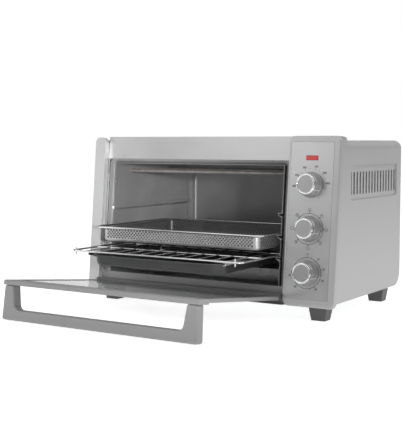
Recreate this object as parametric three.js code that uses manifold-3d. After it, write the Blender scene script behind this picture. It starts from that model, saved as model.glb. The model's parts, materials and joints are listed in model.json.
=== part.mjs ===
// Countertop toaster oven with a drop-down glass door, air-fry basket, wire rack and baking pan.
// Millimetres, +Z up, the front towards -Y. The door stands open, with the racks drawn out.
import * as THREE from 'three';
import { mergeVertices } from 'three/addons/utils/BufferGeometryUtils.js';
import Module from 'manifold-3d';

const wasm = await Module();
wasm.setup();

// ---------------------------------------------------------------- driving dimensions

// Overall
const bodyWidth = 483;
const bodyHeight = 269.4;
const bodyDepth = 277.5;
const footHeight = 23.5;
const footHalf = 17;
const footInset = 36.5;
const footFromFace = 31;
const frontLean = THREE.MathUtils.degToRad(5.4);

// Sheet metal, mouldings and clearances
const sheet = 1.2;
const moulding = 1.6;
const gap = 0.3;
const runningGap = 0.4;

// Front bezel
const bezelDepth = 9.5;
const recessClearance = 1.5;
const stileWidth = 22.1;
const controlWidth = 90;
const railHeight = 39;
const sillHeight = 29;
const topFlangeDepth = 13;
const bezelCorner = 6;
const earRadius = 12.5;

// Casing
const casingInset = 1.9;
const casingBottom = 6.6;
const casingDrop = 8.6;
const casingCorner = 14;
const heelRadius = 25;
const ventDepth = 2.5;
const ventLength = 195;
const ventHeight = 57.4;
const ventFromRear = 18.5;
const ventBottom = 164.6;
const slotCount = 16;
const slotPitch = 12.1;
const slotWidth = 5;
const slotHeight = 37.5;

// Cavity
const cavityLeftMargin = 16.2;
const cavityRightMargin = 14.5;
const cavityHeadroom = 49.4;
const cavityFloorZ = 9.7;
const cavityRearGap = 10.3;
const bulgeMargin = 8;
const bulgeDepth = 14;
const bulgeCorner = 25;
const ledgeDepth = 7;
const ledgeHeight = 8;
const ledgeFrontGap = 14;

// Racks, basket and pan
const wireRadius = 1.6;
const thinWireRadius = 1.2;
const rackPlaneZ = 75.5;
const basketPlaneZ = 110.8;
const topLedgeRise = 35.3;
const rackDepth = 220;
const rackOut = 140;
const rackCorner = 10;
const rackBars = 11;
const basketDepth = 230;
const basketOut = 65;
const basketWallDepth = 22;
const rackRearGap = 4;
const panWidth = 266;
const panDepth = 215;
const panWallDepth = 18.5;
const panFlange = 6;
const panFrontInset = -4;
const panCorner = 26;

// Door
const doorThickness = 9.5;
const doorLength = 246;
const hingeFromFace = 3.9;
const hingeHeight = 11.92;
const doorTravel = THREE.MathUtils.degToRad(88.7);
const doorSideGap = 1.9;
const glassThickness = 3.8;
const doorRailHeight = 12;
const trimDepth = 27;
const trimDrop = 2.9;
const handleReach = 58;
const handleDepth = 18;
const handleBar = 17;
const handleLeg = 18;
const handleTaper = 4;
const handleFlare = 2.2;
const handleFillet = 10;
const pinRadius = 2;

// Controls
const knobRadius = 20.3;
const knobCapRadius = 16.5;
const knobHeight = 21.5;
const knobPitch = 69.3;
const knobMiddleZ = 122.9;
const shaftRadius = 3;
const lampWidth = 20.4;
const lampHeight = 7;
const lampZ = 234.5;

// Fan
const fanRadius = 27;
const fanBlades = 8;

// Heating elements
const elementRadius = 3.2;
const elementEndRadius = 5;

// ---------------------------------------------------------------- places worked out from them

const halfWidth = bodyWidth / 2;
const casingHalf = halfWidth - casingInset;
const casingTop = bodyHeight - casingDrop;
const doorLeft = -halfWidth + stileWidth + doorSideGap;
const housingLeft = halfWidth - controlWidth;
const doorRight = housingLeft - doorSideGap;
const openingTop = bodyHeight - railHeight;
const cavityLeft = -halfWidth + stileWidth + cavityLeftMargin;
const cavityRight = housingLeft - cavityRightMargin;
const cavityMiddle = (cavityLeft + cavityRight) / 2;
const cavityTop = bodyHeight - cavityHeadroom;
const cavityRear = bodyDepth - sheet - cavityRearGap;
const recessDepth = doorThickness + recessClearance;
const frameBack = recessDepth + sheet;
const bulgeLow = casingBottom + heelRadius + 6;
const rackLeft = cavityLeft + 2.7;
const rackRight = cavityRight - 2.7;
const rackFront = cavityRear - rackRearGap - rackDepth - rackOut;
const basketFront = cavityRear - rackRearGap - 1.7 - basketDepth - basketOut;
const knobX = housingLeft + controlWidth * 0.456;
const bezelTilt = new THREE.Matrix4().makeRotationX(-frontLean);

// ---------------------------------------------------------------- solids

// A closed geometry as a solid: shared vertices merged, slivers dropped, faces outward.
function toSolid(geometry) {
  const bare = geometry.clone();
  bare.deleteAttribute('normal');
  bare.deleteAttribute('uv');
  const merged = mergeVertices(bare, 1e-4);
  const position = merged.attributes.position.array;
  const index = merged.index.array;
  const triangles = [];
  let volume = 0;
  for (let i = 0; i < index.length; i += 3) {
    const [a, b, c] = [index[i], index[i + 1], index[i + 2]];
    if (a === b || b === c || a === c) continue;
    triangles.push(a, b, c);
    const corner = (n) => new THREE.Vector3().fromArray(position, 3 * n);
    volume += corner(a).dot(corner(b).cross(corner(c)));
  }
  if (volume < 0) {
    for (let i = 0; i < triangles.length; i += 3) {
      [triangles[i], triangles[i + 1]] = [triangles[i + 1], triangles[i]];
    }
  }
  const mesh = new wasm.Mesh({
    numProp: 3,
    vertProperties: new Float32Array(position),
    triVerts: new Uint32Array(triangles),
  });
  return new wasm.Manifold(mesh);
}

function toGeometry(solid) {
  const mesh = solid.getMesh();
  const geometry = new THREE.BufferGeometry();
  const places = new Float32Array(mesh.vertProperties);
  geometry.setAttribute('position', new THREE.BufferAttribute(places, 3));
  geometry.setIndex(new THREE.BufferAttribute(new Uint32Array(mesh.triVerts), 1));
  geometry.computeVertexNormals();
  return geometry;
}

const join = (first, ...others) => others.reduce((whole, one) => whole.add(one), first);
const cut = (first, ...others) => others.reduce((whole, one) => whole.subtract(one), first);

function block([x0, x1], [y0, y1], [z0, z1]) {
  const box = new THREE.BoxGeometry(x1 - x0, y1 - y0, z1 - z0);
  return toSolid(box.translate((x0 + x1) / 2, (y0 + y1) / 2, (z0 + z1) / 2));
}

// A flat outline drawn in X and Z, thickened from y0 to y1.
function plateXZ(shape, y0, y1, options = {}) {
  const settings = { depth: y1 - y0, bevelEnabled: false, curveSegments: 4, ...options };
  const geometry = new THREE.ExtrudeGeometry(shape, settings);
  return toSolid(geometry.rotateX(Math.PI / 2).translate(0, y1, 0));
}

// A flat outline drawn in Y and Z, thickened from x0 to x1.
function plateYZ(shape, x0, x1, curveSegments = 6) {
  const settings = { depth: x1 - x0, bevelEnabled: false, curveSegments };
  const geometry = new THREE.ExtrudeGeometry(shape, settings);
  const turn = new THREE.Matrix4().makeBasis(
    new THREE.Vector3(0, 1, 0),
    new THREE.Vector3(0, 0, 1),
    new THREE.Vector3(1, 0, 0),
  );
  return toSolid(geometry.applyMatrix4(turn).translate(x0, 0, 0));
}

// A flat outline drawn in X and Y, thickened from z0 to z1.
function plateXY(shape, z0, z1, options = {}) {
  const settings = { depth: z1 - z0, bevelEnabled: false, curveSegments: 4, ...options };
  return toSolid(new THREE.ExtrudeGeometry(shape, settings).translate(0, 0, z0));
}

function roundedRectangle([x0, x1], [y0, y1], radius) {
  const shape = new THREE.Shape();
  shape.absarc(x1 - radius, y0 + radius, radius, -Math.PI / 2, 0);
  shape.absarc(x1 - radius, y1 - radius, radius, 0, Math.PI / 2);
  shape.absarc(x0 + radius, y1 - radius, radius, Math.PI / 2, Math.PI);
  shape.absarc(x0 + radius, y0 + radius, radius, Math.PI, 1.5 * Math.PI);
  shape.closePath();
  return shape;
}

function outline(points) {
  return new THREE.Shape(points.map(([x, y]) => new THREE.Vector2(x, y)));
}

// A round bar between two points.
function rod(from, to, radius, sides = 10) {
  const start = new THREE.Vector3(...from);
  const span = new THREE.Vector3(...to).sub(start);
  const turn = new THREE.Quaternion().setFromUnitVectors(
    new THREE.Vector3(0, 1, 0),
    span.clone().normalize(),
  );
  const geometry = new THREE.CylinderGeometry(radius, radius, span.length(), sides);
  geometry.applyQuaternion(turn);
  const middle = start.clone().addScaledVector(span, 0.5);
  return toSolid(geometry.translate(middle.x, middle.y, middle.z));
}

// A wire bent into a flat rounded rectangle, with an eight-sided section.
function wireLoop([x0, x1], [y0, y1], z, corner, radius) {
  const flat = radius * Math.tan(Math.PI / 8);
  const bevel = radius - flat;
  const along = (by) => roundedRectangle([x0 - by, x1 + by], [y0 - by, y1 + by], corner + by);
  const ring = along(flat);
  ring.holes.push(along(-flat));
  const bevels = { bevelEnabled: true, bevelThickness: bevel, bevelSize: bevel, bevelSegments: 1 };
  return plateXY(ring, z - flat, z + flat, { ...bevels, curveSegments: 4 });
}

// A solid turned about an axis. The profile lists [radius, distance along the axis].
function turned(profile, sides = 24) {
  const points = profile.map(([radius, along]) => new THREE.Vector2(radius, along));
  return toSolid(new THREE.LatheGeometry(points, sides));
}

function moved(solid, matrix) {
  const geometry = toGeometry(solid);
  return toSolid(geometry.applyMatrix4(matrix));
}

function shifted(solid, x, y, z) {
  return moved(solid, new THREE.Matrix4().makeTranslation(x, y, z));
}

// A pressed tray with a rounded floor edge, open at the top.
function tray([x0, x1], [y0, y1], top, depth, wall, corner, roll) {
  const pressed = (inset) => {
    const floorZ = top - depth + inset;
    const edge = roll + inset;
    const shape = roundedRectangle([x0 + edge, x1 - edge], [y0 + edge, y1 - edge], corner - roll);
    const bevel = { bevelEnabled: true, bevelThickness: roll, bevelSize: roll, bevelSegments: 2 };
    const body = plateXY(shape, floorZ + roll, top + 2 * roll, bevel);
    return cut(body, block([x0 - 1, x1 + 1], [y0 - 1, y1 + 1], [top + inset, top + 4 * roll]));
  };
  return cut(pressed(0), pressed(wall));
}

// ---------------------------------------------------------------- finishes and scene

function finish(color, roughness, metalness = 0, opacity = 1) {
  return { color, roughness, metalness, opacity, transparent: opacity < 1 };
}

const finishes = {
  silver: finish(0xc4c4c4, 0.45, 0.3),
  brushed: finish(0xbdbdbd, 0.35, 0.8),
  painted: finish(0xc8c8c8, 0.5, 0.2),
  galvanised: finish(0x8e9090, 0.5, 0.7),
  enamel: finish(0x6a6a6a, 0.35, 0.4),
  nonstick: finish(0x555555, 0.4, 0.3),
  chrome: finish(0xdedede, 0.15, 1),
  handle: finish(0x989898, 0.5, 0.2),
  black: finish(0x303030, 0.6),
  glass: finish(0xe8f0f0, 0.05, 0, 0.35),
  lamp: finish(0xe03028, 0.3),
  ceramic: finish(0xe8e4da, 0.7),
};

const oven = new THREE.Group();
const body = new THREE.Group();
body.position.z = footHeight;
oven.add(body);

const front = new THREE.Group();
front.rotation.x = -frontLean;
body.add(front);

const door = new THREE.Group();
door.position.set(0, hingeFromFace, hingeHeight);
door.rotation.x = doorTravel;
front.add(door);

function place(group, name, solid, finishName) {
  const material = new THREE.MeshStandardMaterial(finishes[finishName]);
  const mesh = new THREE.Mesh(toGeometry(solid), material);
  mesh.name = name;
  group.add(mesh);
}

// ---------------------------------------------------------------- casing

// Everything ahead of a plane that leans with the bezel, at a depth behind its face.
function aheadOf(depth) {
  const slab = block([-bodyWidth, bodyWidth], [-300, depth], [-100, 2 * bodyHeight]);
  return moved(slab, bezelTilt);
}

// What lies outside the rounded heel, the casing's lower rear corner.
function outsideHeel(inset) {
  const radius = heelRadius - inset;
  const y = bodyDepth - heelRadius;
  const z = casingBottom + heelRadius;
  const corner = new THREE.Shape();
  corner.moveTo(y, z - radius);
  corner.absarc(y, z, radius, -Math.PI / 2, 0);
  corner.lineTo(y + 2 * heelRadius, z);
  corner.lineTo(y + 2 * heelRadius, z - 2 * heelRadius);
  corner.lineTo(y, z - 2 * heelRadius);
  corner.closePath();
  return plateYZ(corner, -bodyWidth, bodyWidth);
}

// The sheet that wraps over the top and down both sides.
function casingWrap() {
  const arch = (half, top, corner) => {
    const shape = new THREE.Shape();
    shape.moveTo(half, casingBottom);
    shape.lineTo(half, top - corner);
    shape.absarc(half - corner, top - corner, corner, 0, Math.PI / 2);
    shape.absarc(-half + corner, top - corner, corner, Math.PI / 2, Math.PI);
    shape.lineTo(-half, casingBottom);
    shape.closePath();
    return shape;
  };
  const outer = plateXZ(arch(casingHalf, casingTop, casingCorner), 0, bodyDepth);
  const innerShape = arch(casingHalf - sheet, casingTop - sheet, casingCorner - sheet);
  const inner = plateXZ(innerShape, -1, bodyDepth + 1);
  return cut(outer, inner, block([-casingHalf, casingHalf].map((x) => 0.99 * x), [-1, bodyDepth + 1],
    [casingBottom - 1, casingBottom + 1]));
}

function slot(y, z, height) {
  return roundedRectangle([y - slotWidth / 2, y + slotWidth / 2], [z, z + height], slotWidth / 2 - 0.01);
}

// One pressed-in louvre field: its stiffening boss, its pocket and its row of slots.
function louvre(side) {
  const rear = bodyDepth - ventFromRear;
  const spanY = [rear - ventLength, rear];
  const spanZ = [ventBottom, ventBottom + ventHeight];
  const across = (a, b) => (side > 0 ? [a, b] : [-b, -a]);
  const boss = block(across(casingHalf - sheet - ventDepth, casingHalf - 0.5), spanY, spanZ);
  const inset = (span, by) => [span[0] + by, span[1] - by];
  const pocket = roundedRectangle(inset(spanY, sheet), inset(spanZ, sheet), 4);
  const pocketX = across(casingHalf - ventDepth, casingHalf + 1);
  const slots = [];
  const slotZ = ventBottom + (ventHeight - slotHeight) / 2 - 1;
  const firstY = rear - ventLength / 2 - slotPitch * (slotCount - 1) / 2;
  for (let i = 0; i < slotCount; i += 1) {
    const shape = slot(firstY + i * slotPitch, slotZ, slotHeight);
    slots.push(plateYZ(shape, ...across(casingHalf - 10, casingHalf + 5), 2));
  }
  return { boss, cuts: [plateYZ(pocket, ...pocketX, 3), ...slots] };
}

const louvres = [louvre(1), louvre(-1)];
const wrap = join(casingWrap(), ...louvres.map((one) => one.boss));
const rail = block([-halfWidth + stileWidth, housingLeft], [0, bodyDepth], [0, bodyHeight]);
const casing = cut(
  wrap,
  ...louvres.flatMap((one) => one.cuts),
  aheadOf(bezelDepth + gap),
  aheadOf(frameBack + gap).intersect(rail),
  outsideHeel(0),
);
place(body, 'casing', casing, 'painted');

// ---------------------------------------------------------------- base and rear panel

const inside = casingHalf - sheet - gap;
const trayLeft = cavityLeft + 5;
const trayRight = cavityRight - 5;
const traySlotTop = 16;

function basePlate() {
  const heelY = bodyDepth - heelRadius;
  const heelZ = casingBottom + heelRadius;
  const shape = new THREE.Shape();
  const start = frameBack + 2;
  shape.moveTo(start, casingBottom);
  shape.lineTo(heelY, casingBottom);
  shape.absarc(heelY, heelZ, heelRadius, -Math.PI / 2, 0);
  shape.absarc(heelY, heelZ, heelRadius - sheet, 0, -Math.PI / 2, true);
  shape.lineTo(start, casingBottom + sheet);
  shape.closePath();
  const plate = plateYZ(shape, -inside, inside);
  const exit = block([trayLeft - 1, trayRight + 1], [heelY, bodyDepth + 1], [cavityFloorZ, traySlotTop]);
  const vents = [];
  for (let i = 0; i < 7; i += 1) {
    const y = 0.3 * bodyDepth + i * 16;
    vents.push(block([housingLeft + 18, halfWidth - 22], [y, y + 5], [0, casingBottom + 3]));
  }
  return cut(plate, exit, ...vents);
}
place(body, 'base_plate', basePlate(), 'galvanised');

const screwX = inside - 9;
const screwZs = [casingBottom + heelRadius + 12, casingTop - 18];
const glandX = halfWidth - 42;
const glandZ = 62;
const glandRadius = 8;
const screwHole = 2.2;
const panelY = bodyDepth - sheet;

// A pressed bulge on a rear sheet, and the hollow inside it.
function bulge(marginX, zSpan, y, depth, corner, wall) {
  const roll = Math.min(8, depth - 2);
  const pressed = (inset) => {
    const edge = roll + inset;
    const spanX = [cavityLeft + marginX + edge, cavityRight - marginX - edge];
    const spanZ = [zSpan[0] + edge, zSpan[1] - edge];
    const shape = roundedRectangle(spanX, spanZ, corner - roll);
    const bevel = { bevelEnabled: true, bevelThickness: roll, bevelSize: roll, bevelSegments: 2 };
    const end = y + depth - inset - roll;
    const form = plateXZ(shape, y - 3 * roll, end, bevel);
    return cut(form, block([-bodyWidth, bodyWidth], [-100, y], [-100, 2 * bodyHeight]));
  };
  return { outer: pressed(0), hollow: pressed(wall) };
}

function rearPanel() {
  const low = casingBottom + heelRadius + gap;
  const high = casingTop - sheet - gap;
  const shape = roundedRectangle([-inside, inside], [low, high], casingCorner - sheet);
  const bulgeZ = [bulgeLow, cavityTop + 2];
  const press = bulge(-2, bulgeZ, panelY, bulgeDepth + 2.5, bulgeCorner, sheet);
  const opening = shifted(press.hollow, 0, -sheet - 0.01, 0);
  let panel = cut(join(plateXZ(shape, panelY, bodyDepth), press.outer), opening, press.hollow);
  for (let i = 0; i < 8; i += 1) {
    const z = 105 + i * 13;
    panel = cut(panel, block([housingLeft + 16, halfWidth - 20], [panelY - 1, bodyDepth + 1], [z, z + 5]));
  }
  const across = (x, z, radius) => rod([x, panelY - 5, z], [x, bodyDepth + 5, z], radius, 12);
  panel = cut(panel, across(glandX, glandZ, glandRadius + gap));
  for (const x of [-screwX, screwX]) {
    for (const z of screwZs) panel = cut(panel, across(x, z, screwHole));
  }
  return panel;
}
place(body, 'rear_panel', rearPanel(), 'galvanised');

// The lead's inlet: a grooved bush, open through the middle.
function cordGland() {
  const profile = [
    [3.6, -8], [glandRadius - 1, -8], [glandRadius, -2], [glandRadius, sheet + gap],
    [glandRadius + 3, sheet + gap], [glandRadius + 1.5, 7], [3.6, 7], [3.6, -8],
  ];
  return shifted(turned(profile, 24), glandX, panelY, glandZ);
}
place(body, 'cord_gland', cordGland(), 'black');

function panelScrew(x, z) {
  const head = rod([x, bodyDepth + gap, z], [x, bodyDepth + 2.2, z], 3.8, 12);
  const shank = rod([x, panelY - 6, z], [x, bodyDepth + 1, z], 1.8, 8);
  const drive = [
    block([x - 2.4, x + 2.4], [bodyDepth + 1.3, bodyDepth + 3], [z - 0.4, z + 0.4]),
    block([x - 0.4, x + 0.4], [bodyDepth + 1.3, bodyDepth + 3], [z - 2.4, z + 2.4]),
  ];
  return cut(join(head, shank), ...drive);
}
const sides = [['left', -1], ['right', 1]];
const rows = ['lower', 'upper'];
for (const [side, sign] of sides) {
  rows.forEach((row, i) => {
    place(body, `rear_screw_${row}_${side}`, panelScrew(sign * screwX, screwZs[i]), 'chrome');
  });
}

// ---------------------------------------------------------------- feet

function foot() {
  const height = footHeight + casingBottom - gap;
  const top = footHalf;
  const geometry = new THREE.CylinderGeometry(1, 0.7, height, 4, 1);
  geometry.rotateY(Math.PI / 4).scale(top * Math.SQRT2, 1, 0.82 * top * Math.SQRT2);
  geometry.rotateX(Math.PI / 2).translate(0, 0, height / 2);
  const wide = 0.98 * top;
  const round = plateXY(roundedRectangle([-wide, wide], [-0.8 * wide, 0.8 * wide], 5), 0, height);
  const bore = rod([0, 0, -1], [0, 0, 10], 4, 12);
  return cut(toSolid(geometry).intersect(round), bore);
}
const footYs = [['front', footFromFace], ['rear', bodyDepth - heelRadius + 8]];
for (const [end, y] of footYs) {
  for (const [side, sign] of sides) {
    const solid = shifted(foot(), sign * (halfWidth - footInset), y, -footHeight);
    place(body, `foot_${end}_${side}`, solid, 'black');
  }
}

// ---------------------------------------------------------------- front frame and end cap

function frontFrame() {
  const left = -inside;
  const right = housingLeft + 4;
  const wingTop = casingTop - casingCorner;
  const plate = block([left, right], [recessDepth, frameBack], [casingBottom + 2, wingTop]);
  const doorWay = roundedRectangle(
    [-halfWidth + stileWidth + 3.5, housingLeft - 5.5],
    [sillHeight, openingTop],
    5,
  );
  const spanX = [-halfWidth + stileWidth + gap, housingLeft - gap];
  const middle = block(spanX, [recessDepth, frameBack], [0, bodyHeight]);
  const lip = block(spanX, [0.5, frameBack], [0, sheet]);
  const flangeEnd = recessDepth + topFlangeDepth;
  const flange = block(spanX, [recessDepth, flangeEnd], [bodyHeight - sheet, bodyHeight]);
  const lipLow = (casingTop + flangeEnd * Math.sin(frontLean)) / Math.cos(frontLean) + gap;
  const lipZ = [lipLow, bodyHeight];
  const turnDown = block(spanX, [flangeEnd - sheet, flangeEnd], lipZ);
  return cut(join(plate, middle, lip, flange, turnDown), plateXZ(doorWay, 0, 30));
}
place(front, 'front_frame', frontFrame(), 'brushed');

const pinHole = (x0, x1) => rod([x0, hingeFromFace, hingeHeight], [x1, hingeFromFace, hingeHeight],
  pinRadius + gap, 12);

function leftEndCap() {
  const spanX = [-halfWidth, -halfWidth + stileWidth];
  const shape = roundedRectangle(spanX, [0, bodyHeight - 2], 8);
  const inner = roundedRectangle(
    [spanX[0] + moulding, spanX[1] - moulding],
    [moulding, bodyHeight - 2 - moulding],
    8 - moulding,
  );
  const shell = cut(plateXZ(shape, 0, bezelDepth), plateXZ(inner, moulding, bezelDepth + 1));
  const returnWall = block([spanX[1] - moulding, spanX[1]], [1, recessDepth - gap], [9, bodyHeight - 10]);
  return cut(join(shell, returnWall), pinHole(spanX[1] - 5, spanX[1] + 5));
}
place(front, 'left_end_cap', leftEndCap(), 'silver');

// ---------------------------------------------------------------- control housing and fascia

const fasciaX = [housingLeft + 3.5, halfWidth - 11.5];
const fasciaZ = [12, bodyHeight - 9.5];
const fasciaDepth = 1.3;
const knobZs = [knobMiddleZ + knobPitch, knobMiddleZ, knobMiddleZ - knobPitch];
const shaftHole = shaftRadius + runningGap;

const lampWindow = (clearance) => block(
  [knobX - lampWidth / 2 - clearance, knobX + lampWidth / 2 + clearance],
  [-5, 12],
  [lampZ - lampHeight / 2 - clearance, lampZ + lampHeight / 2 + clearance],
);
const shaftHoles = () => knobZs.map((z) => rod([knobX, -5, z], [knobX, 15, z], shaftHole, 12));

function controlHousing() {
  const spanX = [housingLeft, halfWidth];
  const spanZ = [0, bodyHeight];
  const bevel = 3;
  const inset = (span, by) => [span[0] + by, span[1] - by];
  const rim = roundedRectangle(inset(spanX, bevel), inset(spanZ, bevel), bezelCorner);
  const bevels = { bevelEnabled: true, bevelThickness: bevel, bevelSize: bevel, bevelSegments: 2 };
  const blank = plateXZ(rim, bevel, 30, bevels);
  const wall = moulding + 1;
  const hollow = roundedRectangle(inset(spanX, moulding), inset(spanZ, moulding), bezelCorner);
  const shell = cut(
    blank,
    plateXZ(hollow, wall, 40),
    block([0, bodyWidth], [bezelDepth, 60], [-10, bodyHeight + 10]),
  );
  const earMiddle = bodyHeight - earRadius - 0.6;
  const ear = rod([halfWidth - moulding, bezelDepth - 2, earMiddle], [halfWidth, bezelDepth - 2, earMiddle],
    earRadius, 24);
  const earOnly = cut(ear, block([0, bodyWidth], [-40, bezelDepth - 3], [0, 2 * bodyHeight]));
  const roof = [bodyHeight - moulding, bodyHeight];
  const edgeX = halfWidth - 5;
  const edgeZ = bodyHeight - 5;
  const browEnd = recessDepth + topFlangeDepth;
  const brow = block([housingLeft + moulding, edgeX], [bezelDepth - 2, browEnd], roof);
  const browEdge = rod([edgeX, bezelDepth - 2, edgeZ], [edgeX, browEnd - 4, edgeZ], 5, 24);
  const underRoof = [bodyHeight - 12, roof[0]];
  const browHollow = block([housingLeft, halfWidth - moulding], [-5, 60], underRoof);
  const browRound = cut(browEdge, browHollow);
  const returnWall = block([housingLeft, housingLeft + moulding], [1, recessDepth - gap], [9, bodyHeight - 10]);
  const pocket = block(fasciaX, [-5, fasciaDepth], fasciaZ);
  return cut(
    join(shell, earOnly, brow, browRound, returnWall),
    pocket,
    lampWindow(gap),
    ...shaftHoles(),
    pinHole(housingLeft - 5, housingLeft + 12),
  );
}
place(front, 'control_housing', controlHousing(), 'silver');

function controlFascia() {
  const inset = (span) => [span[0] + gap, span[1] - gap];
  const plate = block(inset(fasciaX), [0, fasciaDepth - gap], inset(fasciaZ));
  return cut(plate, lampWindow(gap), ...shaftHoles());
}
place(front, 'control_fascia', controlFascia(), 'brushed');

function lampLens() {
  const flangeWide = 2;
  const lens = lampWindow(0).intersect(block([0, bodyWidth], [-0.8, 8], [0, bodyHeight]));
  const back = block(
    [knobX - lampWidth / 2 - flangeWide, knobX + lampWidth / 2 + flangeWide],
    [moulding + 1 + gap, 5],
    [lampZ - lampHeight / 2 - flangeWide, lampZ + lampHeight / 2 + flangeWide],
  );
  return join(lens, back);
}
place(front, 'lamp_lens', lampLens(), 'lamp');

// ---------------------------------------------------------------- knobs and controls

const shaftIn = 10;
const capDepth = 5;
const controlFace = 15;

function knobSkirt() {
  const top = -(knobHeight - capDepth);
  const profile = [
    [0, top], [knobCapRadius + 0.6, top], [knobCapRadius + 1.6, top + 2], [knobRadius - 1.2, -5],
    [knobRadius, -2.5], [knobRadius, -0.6], [0, -0.6],
  ];
  const bore = rod([0, 0, 0], [0, -shaftIn - gap, 0], shaftRadius + gap, 12);
  const pointer = block([knobCapRadius - 4, knobRadius - 1], [top + 1, -5], [-1.4, 1.4]);
  return cut(join(turned(profile), pointer), bore);
}

function knobCap() {
  const low = -(knobHeight - capDepth) - gap;
  const top = -knobHeight;
  const ring = knobCapRadius - 2.6;
  const profile = [
    [0, top + 0.8], [ring, top + 0.8], [ring + 0.6, top], [knobCapRadius - 0.6, top],
    [knobCapRadius, top + 0.8], [knobCapRadius, low], [0, low],
  ];
  return turned(profile);
}

function controlBox(half, depth) {
  const box = block([-half, half], [controlFace, controlFace + depth], [-half, half]);
  const collar = rod([0, controlFace - 3, 0], [0, controlFace + 1, 0], shaftRadius + 3, 20);
  const bore = rod([0, controlFace - 4, 0], [0, controlFace + 8, 0], shaftRadius + gap, 12);
  const tags = [-0.5, 0.5].map((share) => block(
    [share * half - 3, share * half + 3],
    [controlFace + depth - 1, controlFace + depth + 7],
    [-half + 4, -half + 4.8],
  ));
  return cut(join(box, collar, ...tags), bore);
}

const controls = [
  { knob: 'temperature', mechanism: 'thermostat', half: 17, depth: 28, pointer: 0.5 },
  { knob: 'function', mechanism: 'function_switch', half: 19, depth: 24, pointer: 0.4 },
  { knob: 'timer', mechanism: 'timer_mechanism', half: 21, depth: 34, pointer: 0.45 },
];
controls.forEach(({ knob, mechanism, half, depth, pointer }, i) => {
  const z = knobZs[i];
  const spin = new THREE.Matrix4().makeRotationY(pointer);
  const set = new THREE.Matrix4().makeTranslation(knobX, 0, z);
  place(front, `${knob}_knob`, moved(knobSkirt(), set.clone().multiply(spin)), 'silver');
  place(front, `${knob}_knob_cap`, moved(knobCap(), set), 'chrome');
  const shaft = rod([0, -shaftIn, 0], [0, controlFace + 7, 0], shaftRadius, 12);
  place(front, `${knob}_shaft`, moved(shaft, set), 'chrome');
  place(front, mechanism, moved(controlBox(half, depth), set), 'galvanised');
});

const bellY = controlFace + controls[2].depth + gap;
const bellProfile = [[0, 0], [3, 0], [3, 6], [15, 6], [15, 4], [16, 4], [16, 9], [12, 13], [0, 14]];
place(front, 'timer_bell', shifted(turned(bellProfile), knobX, bellY + 0.5, knobZs[2]), 'galvanised');

// ---------------------------------------------------------------- cavity

const ledgeTops = [rackPlaneZ, basketPlaneZ, basketPlaneZ + topLedgeRise].map((z) => z - wireRadius - gap);
const elements = [
  { name: 'lower_front_element', y: 82, z: 36 },
  { name: 'lower_rear_element', y: 0.72 * bodyDepth, z: 36 },
  { name: 'upper_front_element', y: 82, z: cavityTop - 14 },
  { name: 'upper_rear_element', y: 0.72 * bodyDepth, z: cavityTop - 14 },
];
const fanY = 141;
const fanZ = cavityTop - 36;
const fanHole = fanRadius + 3;
const wallFront = frameBack + gap;

// A side wall with pressed ledges. Inward is +1 for the left wall and -1 for the right one.
function cavityWall(inner, inward) {
  const outer = inner - inward * sheet;
  const low = Math.min(inner, outer);
  const wall = block([low, low + sheet], [0, cavityRear - gap], [cavityFloorZ + gap, cavityTop]);
  const ledge = (top, shrink) => {
    const root = inner - inward * (sheet / 2 + 2 * shrink);
    const nose = inner + inward * (ledgeDepth - shrink);
    return outline([
      [root, top - shrink], [nose, top - shrink], [nose, top - 0.45 * ledgeHeight],
      [root, top - ledgeHeight + shrink],
    ]);
  };
  let solid = wall;
  for (const top of ledgeTops) {
    const rear = cavityRear - 4;
    solid = join(solid, plateXZ(ledge(top, 0), ledgeFrontGap + 4, rear));
    solid = cut(solid, plateXZ(ledge(top, sheet), ledgeFrontGap + 4 + sheet, rear - sheet));
  }
  const span = [inner - 10, inner + 10];
  for (const { y, z } of elements) {
    solid = cut(solid, rod([span[0], y, z], [span[1], y, z], elementRadius + runningGap, 12));
  }
  return cut(solid, aheadOf(wallFront), outsideHeel(sheet + gap));
}

place(body, 'cavity_left_wall', cavityWall(cavityLeft, 1), 'enamel');
const fanPort = rod([cavityRight - 4, fanY, fanZ], [cavityRight + 10, fanY, fanZ], fanHole, 32);
place(body, 'cavity_right_wall', cut(cavityWall(cavityRight, -1), fanPort), 'enamel');

function cavityBack() {
  const spanX = [cavityLeft + gap, cavityRight - gap];
  const spanZ = [traySlotTop + 0.5, cavityTop];
  const sheetBack = block(spanX, [cavityRear, cavityRear + sheet], spanZ);
  const bulgeZ = [bulgeLow + 2 * sheet, cavityTop - 11];
  const press = bulge(bulgeMargin, bulgeZ, cavityRear, bulgeDepth, bulgeCorner, sheet);
  const opening = shifted(press.hollow, 0, -0.01, 0);
  return cut(join(sheetBack, press.outer), opening, press.hollow);
}
place(body, 'cavity_back_wall', cavityBack(), 'enamel');

const roofX = [cavityLeft - sheet, cavityRight + sheet];
const ceiling = block(roofX, [0, cavityRear + sheet], [cavityTop + gap, cavityTop + gap + sheet]);
place(body, 'cavity_ceiling', cut(ceiling, aheadOf(wallFront)), 'enamel');
const floorRear = bodyDepth - heelRadius + 5;
const floor = block(roofX, [frameBack + 2, floorRear], [cavityFloorZ - sheet, cavityFloorZ]);
place(body, 'cavity_floor', floor, 'enamel');

function heatingElement(y, z) {
  const reach = 9;
  const sheath = rod([cavityLeft - reach, y, z], [cavityRight + reach, y, z], elementRadius, 12);
  const leftEnd = rod([cavityLeft - reach, y, z], [cavityLeft - sheet - 1, y, z], elementEndRadius, 12);
  const rightEnd = rod([cavityRight + sheet + 1, y, z], [cavityRight + reach, y, z], elementEndRadius, 12);
  return join(sheath, leftEnd, rightEnd);
}
for (const { name, y, z } of elements) place(body, name, heatingElement(y, z), 'ceramic');

const shieldX = [cavityLeft + gap, cavityRight - gap];
const shield = join(
  block(shieldX, [60, 60 + sheet], [27, 48]),
  block(shieldX, [60, 68], [27, 27 + sheet]),
);
place(body, 'lower_heat_shield', shield, 'galvanised');

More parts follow.
